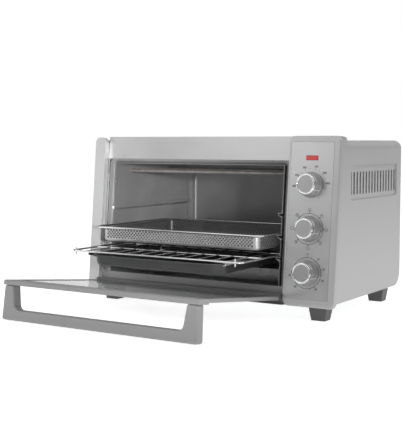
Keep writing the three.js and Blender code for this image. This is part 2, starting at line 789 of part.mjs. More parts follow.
// ---------------------------------------------------------------- convection fan

const grilleX = cavityRight + sheet + gap;
const dishX = grilleX + sheet + gap;
const dishDepth = 19;
const aboutX = new THREE.Matrix4().makeTranslation(0, fanY, fanZ).multiply(
  new THREE.Matrix4().makeRotationZ(-Math.PI / 2),
);

function fanGrille() {
  const disc = rod([grilleX, fanY, fanZ], [grilleX + sheet, fanY, fanZ], fanHole + 4, 32);
  const openings = [];
  for (let i = -3; i <= 3; i += 1) {
    const half = Math.sqrt(fanHole ** 2 - (i * 8) ** 2) - 3;
    const z = fanZ + i * 8;
    openings.push(block([grilleX - 2, grilleX + 4], [fanY - half, fanY + half], [z - 2, z + 2]));
  }
  return cut(disc, ...openings);
}
place(body, 'fan_grille', fanGrille(), 'galvanised');

function fanDish() {
  const outer = fanHole + 4;
  const profile = [
    [4, dishX + dishDepth - sheet], [outer - sheet, dishX + dishDepth - sheet], [outer - sheet, dishX],
    [outer, dishX], [outer, dishX + dishDepth], [4, dishX + dishDepth], [4, dishX + dishDepth - sheet],
  ];
  return moved(turned(profile), aboutX);
}
place(body, 'fan_housing', fanDish(), 'galvanised');

function fanWheel() {
  const start = dishX + 3;
  const hub = rod([start, 0, 0], [start + 11, 0, 0], 8, 16);
  const blades = [];
  for (let i = 0; i < fanBlades; i += 1) {
    const blade = block([start + 1, start + 10], [-0.6, 0.6], [6, fanRadius]);
    blades.push(moved(blade, new THREE.Matrix4().makeRotationX(2 * Math.PI * i / fanBlades)));
  }
  const disc = rod([start + 10, 0, 0], [start + 11, 0, 0], fanRadius, 24);
  const bore = rod([start - 1, 0, 0], [start + 20, 0, 0], 2.5 + gap, 12);
  return shifted(cut(join(hub, disc, ...blades), bore), 0, fanY, fanZ);
}
place(body, 'fan_wheel', fanWheel(), 'galvanised');
const motorX = dishX + dishDepth + gap;
const fanShaft = rod([dishX + 2, fanY, fanZ], [motorX + 9, fanY, fanZ], 2.5, 12);
place(body, 'fan_shaft', fanShaft, 'chrome');
const motorRadius = 20;
const motor = cut(
  rod([motorX, fanY, fanZ], [motorX + 32, fanY, fanZ], motorRadius, 24),
  rod([motorX - 1, fanY, fanZ], [motorX + 10, fanY, fanZ], 2.5 + gap, 12),
);
place(body, 'fan_motor', motor, 'galvanised');

// ---------------------------------------------------------------- crumb tray

function crumbTray() {
  const low = cavityFloorZ + gap;
  const spanX = [trayLeft, trayRight];
  const rear = floorRear + 1;
  const frontY = 26;
  const solid = block(spanX, [frontY, rear], [low, traySlotTop - 1]);
  const hollow = block([spanX[0] + 1, spanX[1] - 1], [frontY + 1, rear - 1], [low + 1, traySlotTop + 4]);
  const neckX = [cavityMiddle - 40, cavityMiddle + 40];
  const neck = block(neckX, [rear - 1, bodyDepth + 2.4], [low, low + 1]);
  const grip = block(neckX, [bodyDepth + 1.2, bodyDepth + 2.4], [low, low + 12]);
  return join(cut(solid, hollow), neck, grip);
}
place(body, 'crumb_tray', crumbTray(), 'galvanised');

// ---------------------------------------------------------------- door

const doorOuter = -hingeFromFace;
const doorInner = doorThickness - hingeFromFace;
const doorSpan = [doorLeft, doorRight];
const glassY = [doorOuter + gap, doorOuter + gap + glassThickness];
const trimInner = glassY[1] + 0.9;
const trimZ = [doorLength - trimDepth, doorLength];
const sideTrim = 5;

const glassGroove = (spanX, spanZ) => block(spanX, [glassY[0] - gap, glassY[1] + gap], spanZ);

function doorBottomRail() {
  const shape = new THREE.Shape();
  const meet = Math.acos(doorOuter / doorInner);
  shape.moveTo(doorOuter, doorRailHeight);
  shape.lineTo(doorOuter, -doorInner * Math.sin(meet));
  shape.absarc(0, 0, doorInner, -meet, 0);
  shape.lineTo(doorInner, doorRailHeight);
  shape.closePath();
  const rail = plateYZ(shape, ...doorSpan);
  const groove = glassGroove([doorLeft + 2, doorRight - 2], [doorRailHeight - 5, doorRailHeight + 1]);
  const pinBore = (x0, x1) => rod([x0, 0, 0], [x1, 0, 0], pinRadius + gap, 12);
  return cut(rail, groove, pinBore(doorLeft - 1, doorLeft + 14), pinBore(doorRight - 14, doorRight + 1));
}
place(door, 'door_bottom_rail', doorBottomRail(), 'black');

function doorTopTrim() {
  const low = doorOuter - trimDrop;
  const shape = outline([
    [low, trimZ[0]], [trimInner, trimZ[0]], [trimInner, trimZ[1] - 2], [trimInner - 2, trimZ[1]],
    [low + 1, trimZ[1]], [low, trimZ[1] - 1],
  ]);
  const groove = glassGroove([doorLeft + 2, doorRight - 2], [trimZ[0] - 1, trimZ[1] - 4]);
  return cut(plateYZ(shape, ...doorSpan), groove);
}
place(door, 'door_top_trim', doorTopTrim(), 'handle');

function doorSideTrim(spanX, grooveX) {
  const spanZ = [doorRailHeight + gap, trimZ[0] - gap];
  const strip = block(spanX, [doorOuter - 0.6, trimInner], spanZ);
  return cut(strip, glassGroove(grooveX, [spanZ[0] - 1, spanZ[1] + 1]));
}
const leftTrim = doorSideTrim([doorLeft, doorLeft + sideTrim], [doorLeft + 2, doorLeft + 20]);
const rightTrim = doorSideTrim([doorRight - sideTrim, doorRight], [doorRight - 20, doorRight - 2]);
place(door, 'door_left_trim', leftTrim, 'handle');
place(door, 'door_right_trim', rightTrim, 'handle');

const glassX = [doorLeft + 2 + gap, doorRight - 2 - gap];
const glassZ = [doorRailHeight - 5 + gap, trimZ[1] - 4 - gap];
place(door, 'door_glass', block(glassX, glassY, glassZ), 'glass');

// The handle: a full-width bar on two flared legs, with rounded inner corners.
function doorHandle() {
  const root = doorOuter - trimDrop - gap;
  const end = doorOuter - handleReach;
  const bar = end + handleBar;
  const shape = new THREE.Shape();
  const left = doorLeft + handleFlare;
  const right = doorRight - handleFlare;
  const corner = 4;
  const innerLeft = left + handleLeg;
  const innerRight = right - handleLeg;
  shape.moveTo(left, root);
  shape.lineTo(doorLeft, end + corner);
  shape.quadraticCurveTo(doorLeft, end, doorLeft + corner, end);
  shape.lineTo(doorRight - corner, end);
  shape.quadraticCurveTo(doorRight, end, doorRight, end + corner);
  shape.lineTo(right, root);
  shape.lineTo(innerRight, root);
  shape.lineTo(innerRight - handleTaper, bar + handleFillet);
  shape.quadraticCurveTo(innerRight - handleTaper - 1, bar, innerRight - handleTaper - handleFillet, bar);
  shape.lineTo(innerLeft + handleTaper + handleFillet, bar);
  shape.quadraticCurveTo(innerLeft + handleTaper + 1, bar, innerLeft + handleTaper, bar + handleFillet);
  shape.lineTo(innerLeft, root);
  shape.closePath();
  return plateXY(shape, doorLength - handleDepth, doorLength - 0.5);
}
place(door, 'door_handle', doorHandle(), 'handle');

const pin = (x0, x1) => rod([x0, hingeFromFace, hingeHeight], [x1, hingeFromFace, hingeHeight],
  pinRadius, 16);
place(front, 'hinge_pin_left', pin(doorLeft - doorSideGap - 8, doorLeft + 12), 'chrome');
place(front, 'hinge_pin_right', pin(doorRight - 12, doorRight + doorSideGap + 8), 'chrome');

// ---------------------------------------------------------------- wire rack and its pan runners

const rackSpanX = [rackLeft + wireRadius, rackRight - wireRadius];
const rackSpanY = [rackFront + wireRadius, rackFront + rackDepth - wireRadius];
const panX = [cavityMiddle - panWidth / 2, cavityMiddle + panWidth / 2];
const panY = [rackFront + panFrontInset, rackFront + panFrontInset + panDepth];
const runnerTop = rackPlaneZ - wireRadius - gap;
const panFlangeTop = runnerTop - 2.4;

function wireRack() {
  const frame = wireLoop(rackSpanX, rackSpanY, rackPlaneZ, rackCorner, wireRadius);
  const pieces = [frame];
  const step = (rackSpanX[1] - rackSpanX[0]) / (rackBars + 1);
  for (let i = 1; i <= rackBars; i += 1) {
    const x = rackSpanX[0] + i * step;
    const ends = [[x, rackSpanY[0], rackPlaneZ], [x, rackSpanY[1], rackPlaneZ]];
    pieces.push(rod(...ends, thinWireRadius, 6));
  }
  for (const share of [0.33, 0.67]) {
    const y = rackSpanY[0] + share * (rackSpanY[1] - rackSpanY[0]);
    pieces.push(rod([rackSpanX[0], y, rackPlaneZ], [rackSpanX[1], y, rackPlaneZ], wireRadius, 6));
  }
  for (const x of [rackSpanX[0] + rackCorner, rackSpanX[1] - rackCorner]) {
    const y = rackSpanY[0];
    pieces.push(rod([x, y, rackPlaneZ - 6], [x, y, rackPlaneZ + 6], thinWireRadius, 6));
  }
  return join(...pieces);
}
place(body, 'wire_rack', wireRack(), 'chrome');

// A folded strip that hangs under the rack and carries one edge of the pan's flange.
function panRunner(edge, outward) {
  const web = edge + outward * 1;
  const shape = outline([
    [web - outward * 5, runnerTop], [web + outward, runnerTop], [web + outward, panFlangeTop - 3],
    [web - outward * 4, panFlangeTop - 3], [web - outward * 4, panFlangeTop - 2], [web, panFlangeTop - 2],
    [web, runnerTop - 1], [web - outward * 5, runnerTop - 1],
  ]);
  return plateXZ(shape, rackSpanY[0] + 6, rackSpanY[1] - 6);
}
place(body, 'pan_runner_left', panRunner(panX[0], -1), 'chrome');
place(body, 'pan_runner_right', panRunner(panX[1], 1), 'chrome');

// ---------------------------------------------------------------- baking pan

function bakingPan() {
  const rimZ = panFlangeTop - 0.5;
  const inset = (span) => [span[0] + panFlange, span[1] - panFlange];
  const dish = tray(inset(panX), inset(panY), rimZ, panWallDepth, 1, panCorner, 9);
  const flange = plateXY(roundedRectangle(panX, panY, panCorner + panFlange), rimZ - 1, rimZ);
  const mouth = roundedRectangle(
    inset(panX).map((x, i) => x + (i ? -0.9 : 0.9)),
    inset(panY).map((y, i) => y + (i ? -0.9 : 0.9)),
    panCorner - 0.9,
  );
  return join(dish, cut(flange, plateXY(mouth, rimZ - 5, rimZ + 5)));
}
place(body, 'baking_pan', bakingPan(), 'nonstick');

// ---------------------------------------------------------------- air-fry basket

const basketSpanX = [rackLeft + wireRadius, rackRight - wireRadius];
const basketSpanY = [basketFront + wireRadius, basketFront + basketDepth - wireRadius];
const basketRim = wireLoop(basketSpanX, basketSpanY, basketPlaneZ, 12, wireRadius);
place(body, 'basket_rim', basketRim, 'chrome');

function basketShell() {
  const rimZ = basketPlaneZ - wireRadius - gap;
  const side = ledgeDepth + 2;
  const spanX = [cavityLeft + side, cavityRight - side];
  const spanY = [basketFront + 4, basketFront + basketDepth - 4];
  return tray(spanX, spanY, rimZ, basketWallDepth, 1, 12, 5);
}
place(body, 'basket_shell', basketShell(), 'chrome');

// ---------------------------------------------------------------- origin

// The origin is on the floor, at the middle of the whole footprint with the door open.
const extent = new THREE.Box3().setFromObject(oven);
oven.position.y = -(extent.min.y + extent.max.y) / 2;

export default oven;
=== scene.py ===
# %% [markdown]
# # A countertop toaster oven
# The design arrives as a fixed frame: plain solids, bodies and joints, in metres, +Z up, front towards -Y.
# This lesson gives every piece its finish, and builds again the pieces whose fine shape the plain solids
# leave out: wires, perforated sheet, a drawn pan, turned knobs and rounded mouldings. Nothing is moved.

# %% Load the frame
import json
import math

import bmesh
import bpy
from mathutils import Matrix, Vector


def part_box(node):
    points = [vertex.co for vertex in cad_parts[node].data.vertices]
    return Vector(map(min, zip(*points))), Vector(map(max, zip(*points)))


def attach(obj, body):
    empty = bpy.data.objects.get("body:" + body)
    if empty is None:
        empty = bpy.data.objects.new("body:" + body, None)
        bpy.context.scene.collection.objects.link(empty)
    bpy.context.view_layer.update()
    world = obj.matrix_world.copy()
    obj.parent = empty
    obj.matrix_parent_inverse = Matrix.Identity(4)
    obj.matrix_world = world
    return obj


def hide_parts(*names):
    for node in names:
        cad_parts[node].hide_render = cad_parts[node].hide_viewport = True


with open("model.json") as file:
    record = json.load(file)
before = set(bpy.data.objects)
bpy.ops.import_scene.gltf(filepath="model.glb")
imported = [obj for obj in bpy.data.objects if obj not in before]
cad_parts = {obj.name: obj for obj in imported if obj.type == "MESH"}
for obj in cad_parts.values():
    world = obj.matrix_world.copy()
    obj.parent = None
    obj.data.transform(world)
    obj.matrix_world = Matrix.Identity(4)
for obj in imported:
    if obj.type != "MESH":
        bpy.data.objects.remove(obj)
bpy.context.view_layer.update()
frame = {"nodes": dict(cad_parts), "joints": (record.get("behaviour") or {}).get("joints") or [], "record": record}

record = frame["record"]
body_of = {node: body for body, nodes in record["behaviour"]["bodies"].items() for node in nodes}
joint_of = {joint["name"]: joint for joint in frame["joints"]}
MM = 0.001

# %% [markdown]
# ## The view
# The oven is seen from its right front corner, almost level with its top. A long lens keeps the sides
# nearly parallel, as in a product picture. The camera comes first, because everything else is judged by it.

# %% Camera
camera_data = bpy.data.cameras.new("camera")
camera_data.lens = 80.8
camera_data.shift_y = -0.029
camera = bpy.data.objects.new("camera", camera_data)
camera.location = (0.8794, -1.39408, 0.2826)
camera.rotation_euler = (math.radians(86.226), 0, math.radians(32.703))
bpy.context.scene.collection.objects.link(camera)
bpy.context.scene.camera = camera
print("camera", tuple(round(value, 3) for value in camera.location))

# %% [markdown]
# ## Light
# A white floor, a white surround and large soft lights. A metal shows what is around it, so the surround is
# a gradient, bright above and greyer at the sides. One large light stands over the oven and one to its
# right. A card at the front left gives the brushed steel its bright reflection, fading down the panel, and
# a narrow beam reaches the cavity's left wall. A small spread keeps that beam off the front.

# %% Surround
scene = bpy.context.scene
scene.view_settings.view_transform = "Standard"
world = bpy.data.worlds.new("surround")
scene.world = world
world.use_nodes = True
sky = world.node_tree
sky.nodes.clear()


def add(tree, kind, settings=(), inputs=()):
    """A node with its settings, each input either linked to a socket or set to a value."""
    made = tree.nodes.new(kind)
    for label, value in dict(settings).items():
        setattr(made, label, value)
    for label, value in dict(inputs).items():
        if isinstance(value, bpy.types.NodeSocket):
            tree.links.new(value, made.inputs[label])
        else:
            made.inputs[label].default_value = value
    return made


direction = add(sky, "ShaderNodeTexCoord")
parts = add(sky, "ShaderNodeSeparateXYZ", inputs={0: direction.outputs["Generated"]})
height = add(sky, "ShaderNodeMapRange", inputs={"Value": parts.outputs["Z"], "From Min": -1.0})
ramp = add(sky, "ShaderNodeValToRGB", inputs={"Fac": height.outputs["Result"]})
SKY_STOPS = [(0.0, 0.22), (0.46, 0.26), (0.54, 0.34), (0.68, 0.7), (1.0, 1.0)]
while len(ramp.color_ramp.elements) < len(SKY_STOPS):
    ramp.color_ramp.elements.new(0.5)
for stop, (place, grey) in zip(ramp.color_ramp.elements, SKY_STOPS):
    stop.position = place
    stop.color = (grey, grey, grey, 1)
studio = add(sky, "ShaderNodeBackground", inputs={"Color": ramp.outputs["Color"], "Strength": 0.5})
behind = add(sky, "ShaderNodeBackground", inputs={"Color": (1, 1, 1, 1), "Strength": 1.0})
seen = add(sky, "ShaderNodeLightPath")
both = add(sky, "ShaderNodeMixShader", inputs={
    0: seen.outputs["Is Camera Ray"], 1: studio.outputs[0], 2: behind.outputs[0]})
add(sky, "ShaderNodeOutputWorld", inputs={"Surface": both.outputs[0]})
print("surround of", len(SKY_STOPS), "greys")

# %% Lights


def soft_light(name, place, target, size, watts, spread=180):
    """A rectangular area light at a place, facing a target. A smaller spread keeps it on its target."""
    data = bpy.data.lights.new(name, "AREA")
    data.shape = "RECTANGLE"
    data.size, data.size_y = size
    data.energy = watts
    data.spread = math.radians(spread)
    lamp = bpy.data.objects.new(name, data)
    lamp.location = place
    aim = Vector(target) - Vector(place)
    lamp.rotation_euler = aim.to_track_quat("-Z", "Y").to_euler()
    scene.collection.objects.link(lamp)
    return lamp


MIDDLE = (0, 0.05, 0.15)
SIDE = (0.24, 0.15, 0.3)
SIDE_TOP = (0.24, 0.14, 0.27)
PANEL = (0.15, 0.0, 0.18)
CAVITY = (-0.20, 0.07, 0.18)
soft_light("overhead", (0.2, 0.0, 1.5), MIDDLE, (1.6, 1.4), 4.4)
soft_light("right_side", (1.5, 0.8, 1.3), SIDE, (0.9, 0.9), 4.2)
soft_light("side_top", (0.80, 0.15, 0.85), SIDE_TOP, (0.3, 0.6), 1.0)
soft_light("front_high", (-0.3, -1.3, 1.5), MIDDLE, (1.4, 0.5), 2.2)
soft_light("panel_card", (-0.68, -1.5, 0.72), PANEL, (0.6, 0.7), 1.5)
soft_light("left_strip", (-1.5, -1.25, 0.5), MIDDLE, (0.35, 1.3), 2.6)
soft_light("corner_strip", (0.45, -1.7, 0.35), MIDDLE, (0.10, 1.0), 0.14)
soft_light("cavity_fill", (1.2, -1.2, 0.33), CAVITY, (0.15, 0.15), 0.22, spread=14)

# %% [markdown]
# ## Reusable effects
# Most of these finishes share a few effects: uneven tone, brushing lines, metallic flake, worn edges and
# settled dust. Each is a shader node group, built once. A group puts out only masks and values that change
# over the surface. Whatever is the same all over stays on the shader's own sockets.

# %% Node group helper


def new_group(name, inputs, outputs):
    """An empty shader group with named float inputs and outputs. Returns it, its entry and its exit."""
    group = bpy.data.node_groups.new(name, "ShaderNodeTree")
    for label, value in inputs.items():
        kind = "NodeSocketVector" if isinstance(value, tuple) else "NodeSocketFloat"
        socket = group.interface.new_socket(label, in_out="INPUT", socket_type=kind)
        socket.default_value = value
    for label in outputs:
        group.interface.new_socket(label, in_out="OUTPUT", socket_type="NodeSocketFloat")
    return group, group.nodes.new("NodeGroupInput"), group.nodes.new("NodeGroupOutput")


def scaled_noise(group, scale, detail=2.0, roughness=0.5):
    """Noise in the piece's own space. The scale is a number, a vector or a socket."""
    coordinates = add(group, "ShaderNodeTexCoord").outputs["Object"]
    if isinstance(scale, float):
        scale = (scale, scale, scale)
    stretched = add(group, "ShaderNodeVectorMath", {"operation": "MULTIPLY"}, {0: coordinates, 1: scale})
    return add(group, "ShaderNodeTexNoise", inputs={
        "Vector": stretched.outputs[0], "Scale": 1.0, "Detail": detail, "Roughness": roughness})


def levels(group, value, low, high, to_low=0.0, to_high=1.0):
    """Stretches a value from low..high to to_low..to_high."""
    made = add(group, "ShaderNodeMapRange", inputs={
        "Value": value, "From Min": low, "From Max": high, "To Min": to_low, "To Max": to_high})
    return made.outputs["Result"]


def times(group, first, second):
    """The product of two values."""
    made = add(group, "ShaderNodeMath", {"operation": "MULTIPLY"}, {0: first, 1: second})
    return made.outputs[0]


# %% The five effects
uneven, entry, leave = new_group("uneven_tone", {"Scale": 20.0}, ["Tone"])
clouds = scaled_noise(uneven, entry.outputs["Scale"], detail=4.0, roughness=0.6)
uneven.links.new(levels(uneven, clouds.outputs["Fac"], 0.3, 0.7), leave.inputs["Tone"])

brushing, entry, leave = new_group("brushing_lines", {"Stretch": (4.0, 700.0, 700.0)}, ["Lines"])
strokes = scaled_noise(brushing, entry.outputs["Stretch"], detail=3.0, roughness=0.7)
brushing.links.new(levels(brushing, strokes.outputs["Fac"], 0.25, 0.75), leave.inputs["Lines"])

flake, entry, leave = new_group("flake", {"Scale": 2500.0, "Rarity": 0.62}, ["Mask"])
grains = scaled_noise(flake, entry.outputs["Scale"], detail=0.0)
flake.links.new(levels(flake, grains.outputs["Fac"], entry.outputs["Rarity"], 0.8), leave.inputs["Mask"])

wear, entry, leave = new_group("edge_wear", {"Radius": 0.001, "Patchiness": 0.5}, ["Mask"])
rounded = add(wear, "ShaderNodeBevel", {"samples": 4}, {"Radius": entry.outputs["Radius"]})
flat = add(wear, "ShaderNodeNewGeometry")
bend = add(wear, "ShaderNodeVectorMath", {"operation": "DOT_PRODUCT"}, {
    0: rounded.outputs["Normal"], 1: flat.outputs["Normal"]})
edge = levels(wear, bend.outputs["Value"], 1.0, 0.85)
patches = scaled_noise(wear, 90.0, detail=3.0)
worn = levels(wear, patches.outputs["Fac"], entry.outputs["Patchiness"], 0.75)
wear.links.new(times(wear, edge, worn), leave.inputs["Mask"])

dust, entry, leave = new_group("settled_dust", {"Scale": 140.0}, ["Mask"])
facing = add(dust, "ShaderNodeSeparateXYZ", inputs={0: add(dust, "ShaderNodeNewGeometry").outputs["Normal"]})
upward = levels(dust, facing.outputs["Z"], 0.3, 1.0)
specks = scaled_noise(dust, entry.outputs["Scale"], detail=6.0, roughness=0.7)
dust.links.new(times(dust, upward, levels(dust, specks.outputs["Fac"], 0.45, 0.8)), leave.inputs["Mask"])
print("groups:", [group.name for group in bpy.data.node_groups])

# %% [markdown]
# ## A finish
# One function lays the effects over a plain colour in the order they happen to a real piece: the colour,
# its uneven tone, the brushing or flake, then wear on the edges and dust on top. The caller says how strong
# each is. Constants such as the coat or the index of refraction are set straight on the Principled shader.

# %% Finish helper


def shade(colour, share):
    """A colour made lighter or darker, as RGBA."""
    return tuple(min(1.0, channel * share) for channel in colour) + (1.0,)


def blend_colour(tree, share, under, over):
    """The colour `over` laid on the colour `under` where the share is high."""
    made = add(tree, "ShaderNodeMix", {"data_type": "RGBA"})
    for label, value in {"Factor": share, "A": under, "B": over}.items():
        socket = next(s for s in made.inputs if s.name == label and s.enabled)
        if isinstance(value, bpy.types.NodeSocket):
            tree.links.new(value, socket)
        else:
            socket.default_value = value
    return next(s for s in made.outputs if s.enabled)


def effect(tree, group, **values):
    """A group placed in a material with its own values. Returns its first output."""
    made = add(tree, "ShaderNodeGroup", {"node_tree": group}, values)
    return made.outputs[0]


def finish(name, colour, roughness, metallic=0.0, tone=0.03, tone_scale=20.0, brushed=None, streak=0.05,
           flakes=0.0, flake_scale=2500.0, worn=0.0, worn_colour=(0.8, 0.8, 0.8), dusty=0.04,
           bump=0.15, grit=900.0, **sockets):
    """A material with uneven tone, grain, wear and dust over a base colour."""
    material = bpy.data.materials.new(name)
    material.use_nodes = True
    tree = material.node_tree
    shader = tree.nodes["Principled BSDF"]
    shader.inputs["Metallic"].default_value = metallic
    patch = effect(tree, uneven, Scale=tone_scale)
    result = blend_colour(tree, patch, shade(colour, 1 - tone), shade(colour, 1 + tone))
    rough = levels(tree, patch, 0.0, 1.0, roughness * 0.9, roughness * 1.1)
    height = scaled_noise(tree, grit, detail=2.0).outputs["Fac"]
    if brushed:
        height = effect(tree, brushing, Stretch=brushed)
        result = blend_colour(tree, times(tree, height, streak * 4), result, shade(colour, 0.75))
    if flakes:
        result = blend_colour(tree, times(tree, effect(tree, flake, Scale=flake_scale), flakes),
                              result, shade(colour, 1.5))
    if worn:
        mask = times(tree, effect(tree, wear), worn)
        result = blend_colour(tree, mask, result, shade(worn_colour, 1.0))
    if dusty:
        film = times(tree, effect(tree, dust), dusty)
        result = blend_colour(tree, film, result, (0.8, 0.79, 0.76, 1.0))
    relief = add(tree, "ShaderNodeBump", inputs={"Height": height, "Strength": bump, "Distance": 0.0001})
    tree.links.new(result, shader.inputs["Base Color"])
    tree.links.new(rough, shader.inputs["Roughness"])
    tree.links.new(relief.outputs["Normal"], shader.inputs["Normal"])
    for label, value in sockets.items():
        shader.inputs[label.replace("_", " ")].default_value = value
    return material


# %% [markdown]
# ## The finishes
# The casing is silver paint with a fine flake. The rail and the control plate are brushed steel, brushed
# along the width. The cavity is grey enamel, the pan a dark non-stick coating, the racks bright chrome wire.
# Each is a set of values for the same function, so their differences can be read side by side.

# %% Materials
ALONG_X = (4.0, 900.0, 900.0)
paint = finish("silver_paint", (0.56, 0.56, 0.565), 0.36, 0.35, tone=0.015, flakes=0.25, bump=0.05,
               grit=2200.0, worn=0.15, Coat_Weight=0.25, Coat_Roughness=0.25)
plastic = finish("silver_moulding", (0.55, 0.55, 0.555), 0.34, 0.4, tone=0.02, flakes=0.3, bump=0.06,
                 grit=1800.0, Coat_Weight=0.3, Coat_Roughness=0.2)
brushed = finish("brushed_steel", (0.60, 0.60, 0.605), 0.30, 0.9, tone=0.03, brushed=ALONG_X, streak=0.06,
                 bump=0.25, dusty=0.02)
galvanised = finish("galvanised_steel", (0.50, 0.51, 0.52), 0.42, 0.8, tone=0.16, tone_scale=110.0,
                    bump=0.12, grit=500.0, worn=0.2)
mesh_steel = finish("basket_steel", (0.56, 0.56, 0.56), 0.36, 0.7, tone=0.10, tone_scale=40.0, bump=0.08,
                    dusty=0.02)
# Darker steel for the basket's inside: painted shade, not a coating.
painted_shade_inside = finish("basket_inside_painted_shade", (0.13, 0.13, 0.13), 0.42, 0.5, tone=0.12, tone_scale=40.0, bump=0.08,
                     dusty=0.02)
# Very dark steel for what lies inside the casing: its darkness is painted shade.
painted_shade_steel = finish("dull_steel_painted_shade", (0.10, 0.10, 0.10), 0.5, 0.5, tone=0.15, tone_scale=80.0, bump=0.1)
chrome = finish("chrome_wire", (0.80, 0.80, 0.80), 0.14, 1.0, tone=0.04, tone_scale=60.0, bump=0.04,
                dusty=0.02)
bright = finish("bright_chrome", (0.86, 0.86, 0.87), 0.08, 1.0, tone=0.02, bump=0.02, dusty=0.01)
spun = finish("spun_cap_face", (0.47, 0.47, 0.47), 0.36, 0.85, tone=0.03, brushed=(900.0, 60.0, 60.0),
              streak=0.06, bump=0.2, dusty=0.02)
enamel = finish("cavity_enamel", (0.27, 0.27, 0.275), 0.30, 0.2, tone=0.12, tone_scale=14.0, flakes=0.2,
                bump=0.10, grit=500.0, dusty=0.05, Coat_Weight=0.3, Coat_Roughness=0.15)
nonstick = finish("nonstick_coating", (0.060, 0.060, 0.062), 0.32, 0.3, tone=0.08, tone_scale=25.0,
                  flakes=0.35, flake_scale=1600.0, bump=0.18, worn=0.5, worn_colour=(0.55, 0.55, 0.55))
handle_grey = finish("handle_grey", (0.38, 0.38, 0.38), 0.42, 0.25, tone=0.02, flakes=0.15, bump=0.06,
                     grit=1500.0, worn=0.2, worn_colour=(0.5, 0.5, 0.5))
skirt = finish("knob_skirt", (0.40, 0.40, 0.405), 0.33, 0.55, tone=0.02, flakes=0.2, bump=0.05)
black = finish("black_moulding", (0.13, 0.13, 0.132), 0.38, tone=0.10, bump=0.25, grit=1300.0,
               worn=0.3, worn_colour=(0.14, 0.14, 0.14), dusty=0.06)
ceramic = finish("ceramic_bead", (0.74, 0.71, 0.64), 0.6, tone=0.05, tone_scale=90.0, bump=0.3)
sheath = finish("element_sheath", (0.34, 0.32, 0.30), 0.5, 0.5, tone=0.22, tone_scale=70.0, bump=0.25,
                dusty=0.0)
ink = finish("dial_ink", (0.05, 0.05, 0.055), 0.5, tone=0.15, tone_scale=400.0, bump=0.1, dusty=0.0)
lamp_red = finish("lamp_red", (0.55, 0.020, 0.015), 0.22, tone=0.10, tone_scale=300.0, bump=0.05, dusty=0.0,
                  Coat_Weight=0.5, Emission_Color=(0.9, 0.04, 0.03, 1.0), Emission_Strength=0.1)
print(len(bpy.data.materials), "materials with those that came with the frame")

# %% [markdown]
# The door glass is clear, slightly green, and smooth. It keeps a plain transmission, and only its roughness
# changes, where hands and steam have left a faint film.

# %% Glass
glass = bpy.data.materials.new("door_glass")
glass.use_nodes = True
clear = glass.node_tree.nodes["Principled BSDF"]
for label, value in {"Base Color": (0.97, 0.99, 0.98, 1), "IOR": 1.45, "Transmission Weight": 1.0}.items():
    clear.inputs[label].default_value = value
film = levels(glass.node_tree, effect(glass.node_tree, uneven, Scale=35.0), 0.0, 1.0, 0.0, 0.05)
glass.node_tree.links.new(film, clear.inputs["Roughness"])
print("glass index", clear.inputs["IOR"].default_value)

# %% [markdown]
# ## Helpers for pieces
# A new piece takes the place of CAD nodes: it rides on their body and hides them.
# Three ways of making a piece come back again and again: a softened copy of a plain solid, a wire swept
# along a path, and a loft through a row of loops.

# %% Placing and finishing a mesh


def make_piece(name, bm, materials, nodes, smooth_angle=40.0):
    """Turns a bmesh into an object that stands for CAD nodes and rides on their body."""
    limit = math.radians(smooth_angle)
    for face in bm.faces:
        face.smooth = True
    for line in bm.edges:
        line.smooth = len(line.link_faces) == 2 and line.calc_face_angle(0.0) < limit
    mesh = bpy.data.meshes.new(name)
    bm.to_mesh(mesh)
    bm.free()
    piece = bpy.data.objects.new(name, mesh)
    scene.collection.objects.link(piece)
    for material in materials:
        mesh.materials.append(material)
    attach(piece, body_of[nodes[0]])
    return piece


def bevel(piece, width, segments=2, angle=40.0):
    """Rounds the sharp edges of a piece."""
    made = piece.modifiers.new("rounded_edges", "BEVEL")
    made.width = width
    made.segments = segments
    made.limit_method = "ANGLE"
    made.angle_limit = math.radians(angle)
    weighted = piece.modifiers.new("flat_faces_stay_flat", "WEIGHTED_NORMAL")
    weighted.keep_sharp = True
    return piece


def softened(node, material, width, segments=2, smooth_angle=40.0, parting=None):
    """A copy of a plain solid with clean flat faces and rounded edges, which stands for it.

    A parting is a height and the material that the piece has below it."""
    bm = bmesh.new()
    bm.from_mesh(frame["nodes"][node].data)
    bmesh.ops.remove_doubles(bm, verts=bm.verts, dist=2e-6)
    bmesh.ops.dissolve_limit(bm, angle_limit=math.radians(0.5), verts=bm.verts, edges=bm.edges)
    if parting:
        everything = list(bm.verts) + list(bm.edges) + list(bm.faces)
        bmesh.ops.bisect_plane(bm, geom=everything, plane_co=(0, 0, parting[0]), plane_no=(0, 0, 1))
    for face in bm.faces:
        low = parting and face.calc_center_median().z < parting[0]
        face.material_index = 1 if low else 0
    materials = [material, parting[1]] if parting else [material]
    piece = make_piece(node + "_form", bm, materials, [node], smooth_angle)
    bevel(piece, width, segments, smooth_angle)
    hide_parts(node)
    return piece


# %% Wires and lofts


def rounded_loop(span_x, span_y, corner, z, steps=8):
    """Points round a rectangle with round corners, at one height, as a list of vectors."""
    points = []
    centres = [(span_x[1] - corner, span_y[0] + corner, -90), (span_x[1] - corner, span_y[1] - corner, 0),
               (span_x[0] + corner, span_y[1] - corner, 90), (span_x[0] + corner, span_y[0] + corner, 180)]
    for x, y, start in centres:
        for i in range(steps + 1):
            turn = math.radians(start + 90 * i / steps)
            points.append(Vector((x + corner * math.cos(turn), y + corner * math.sin(turn), z)))
    return points


def wire(bm, path, radius, closed=False, sides=12, up=Vector((0, 0, 1))):
    """Sweeps a round wire along points."""
    rings = []
    count = len(path)
    for i, point in enumerate(path):
        before = path[i - 1] if closed or i else path[i]
        after = path[(i + 1) % count] if closed or i < count - 1 else path[i]
        along = (after - before).normalized()
        side = along.cross(up).normalized()
        over = side.cross(along)
        ring = []
        for j in range(sides):
            turn = 2 * math.pi * j / sides
            ring.append(bm.verts.new(point + radius * (math.cos(turn) * side + math.sin(turn) * over)))
        rings.append(ring)
    join_rings(bm, rings, closed)
    if not closed:
        bm.faces.new(rings[0])
        bm.faces.new(rings[-1][::-1])


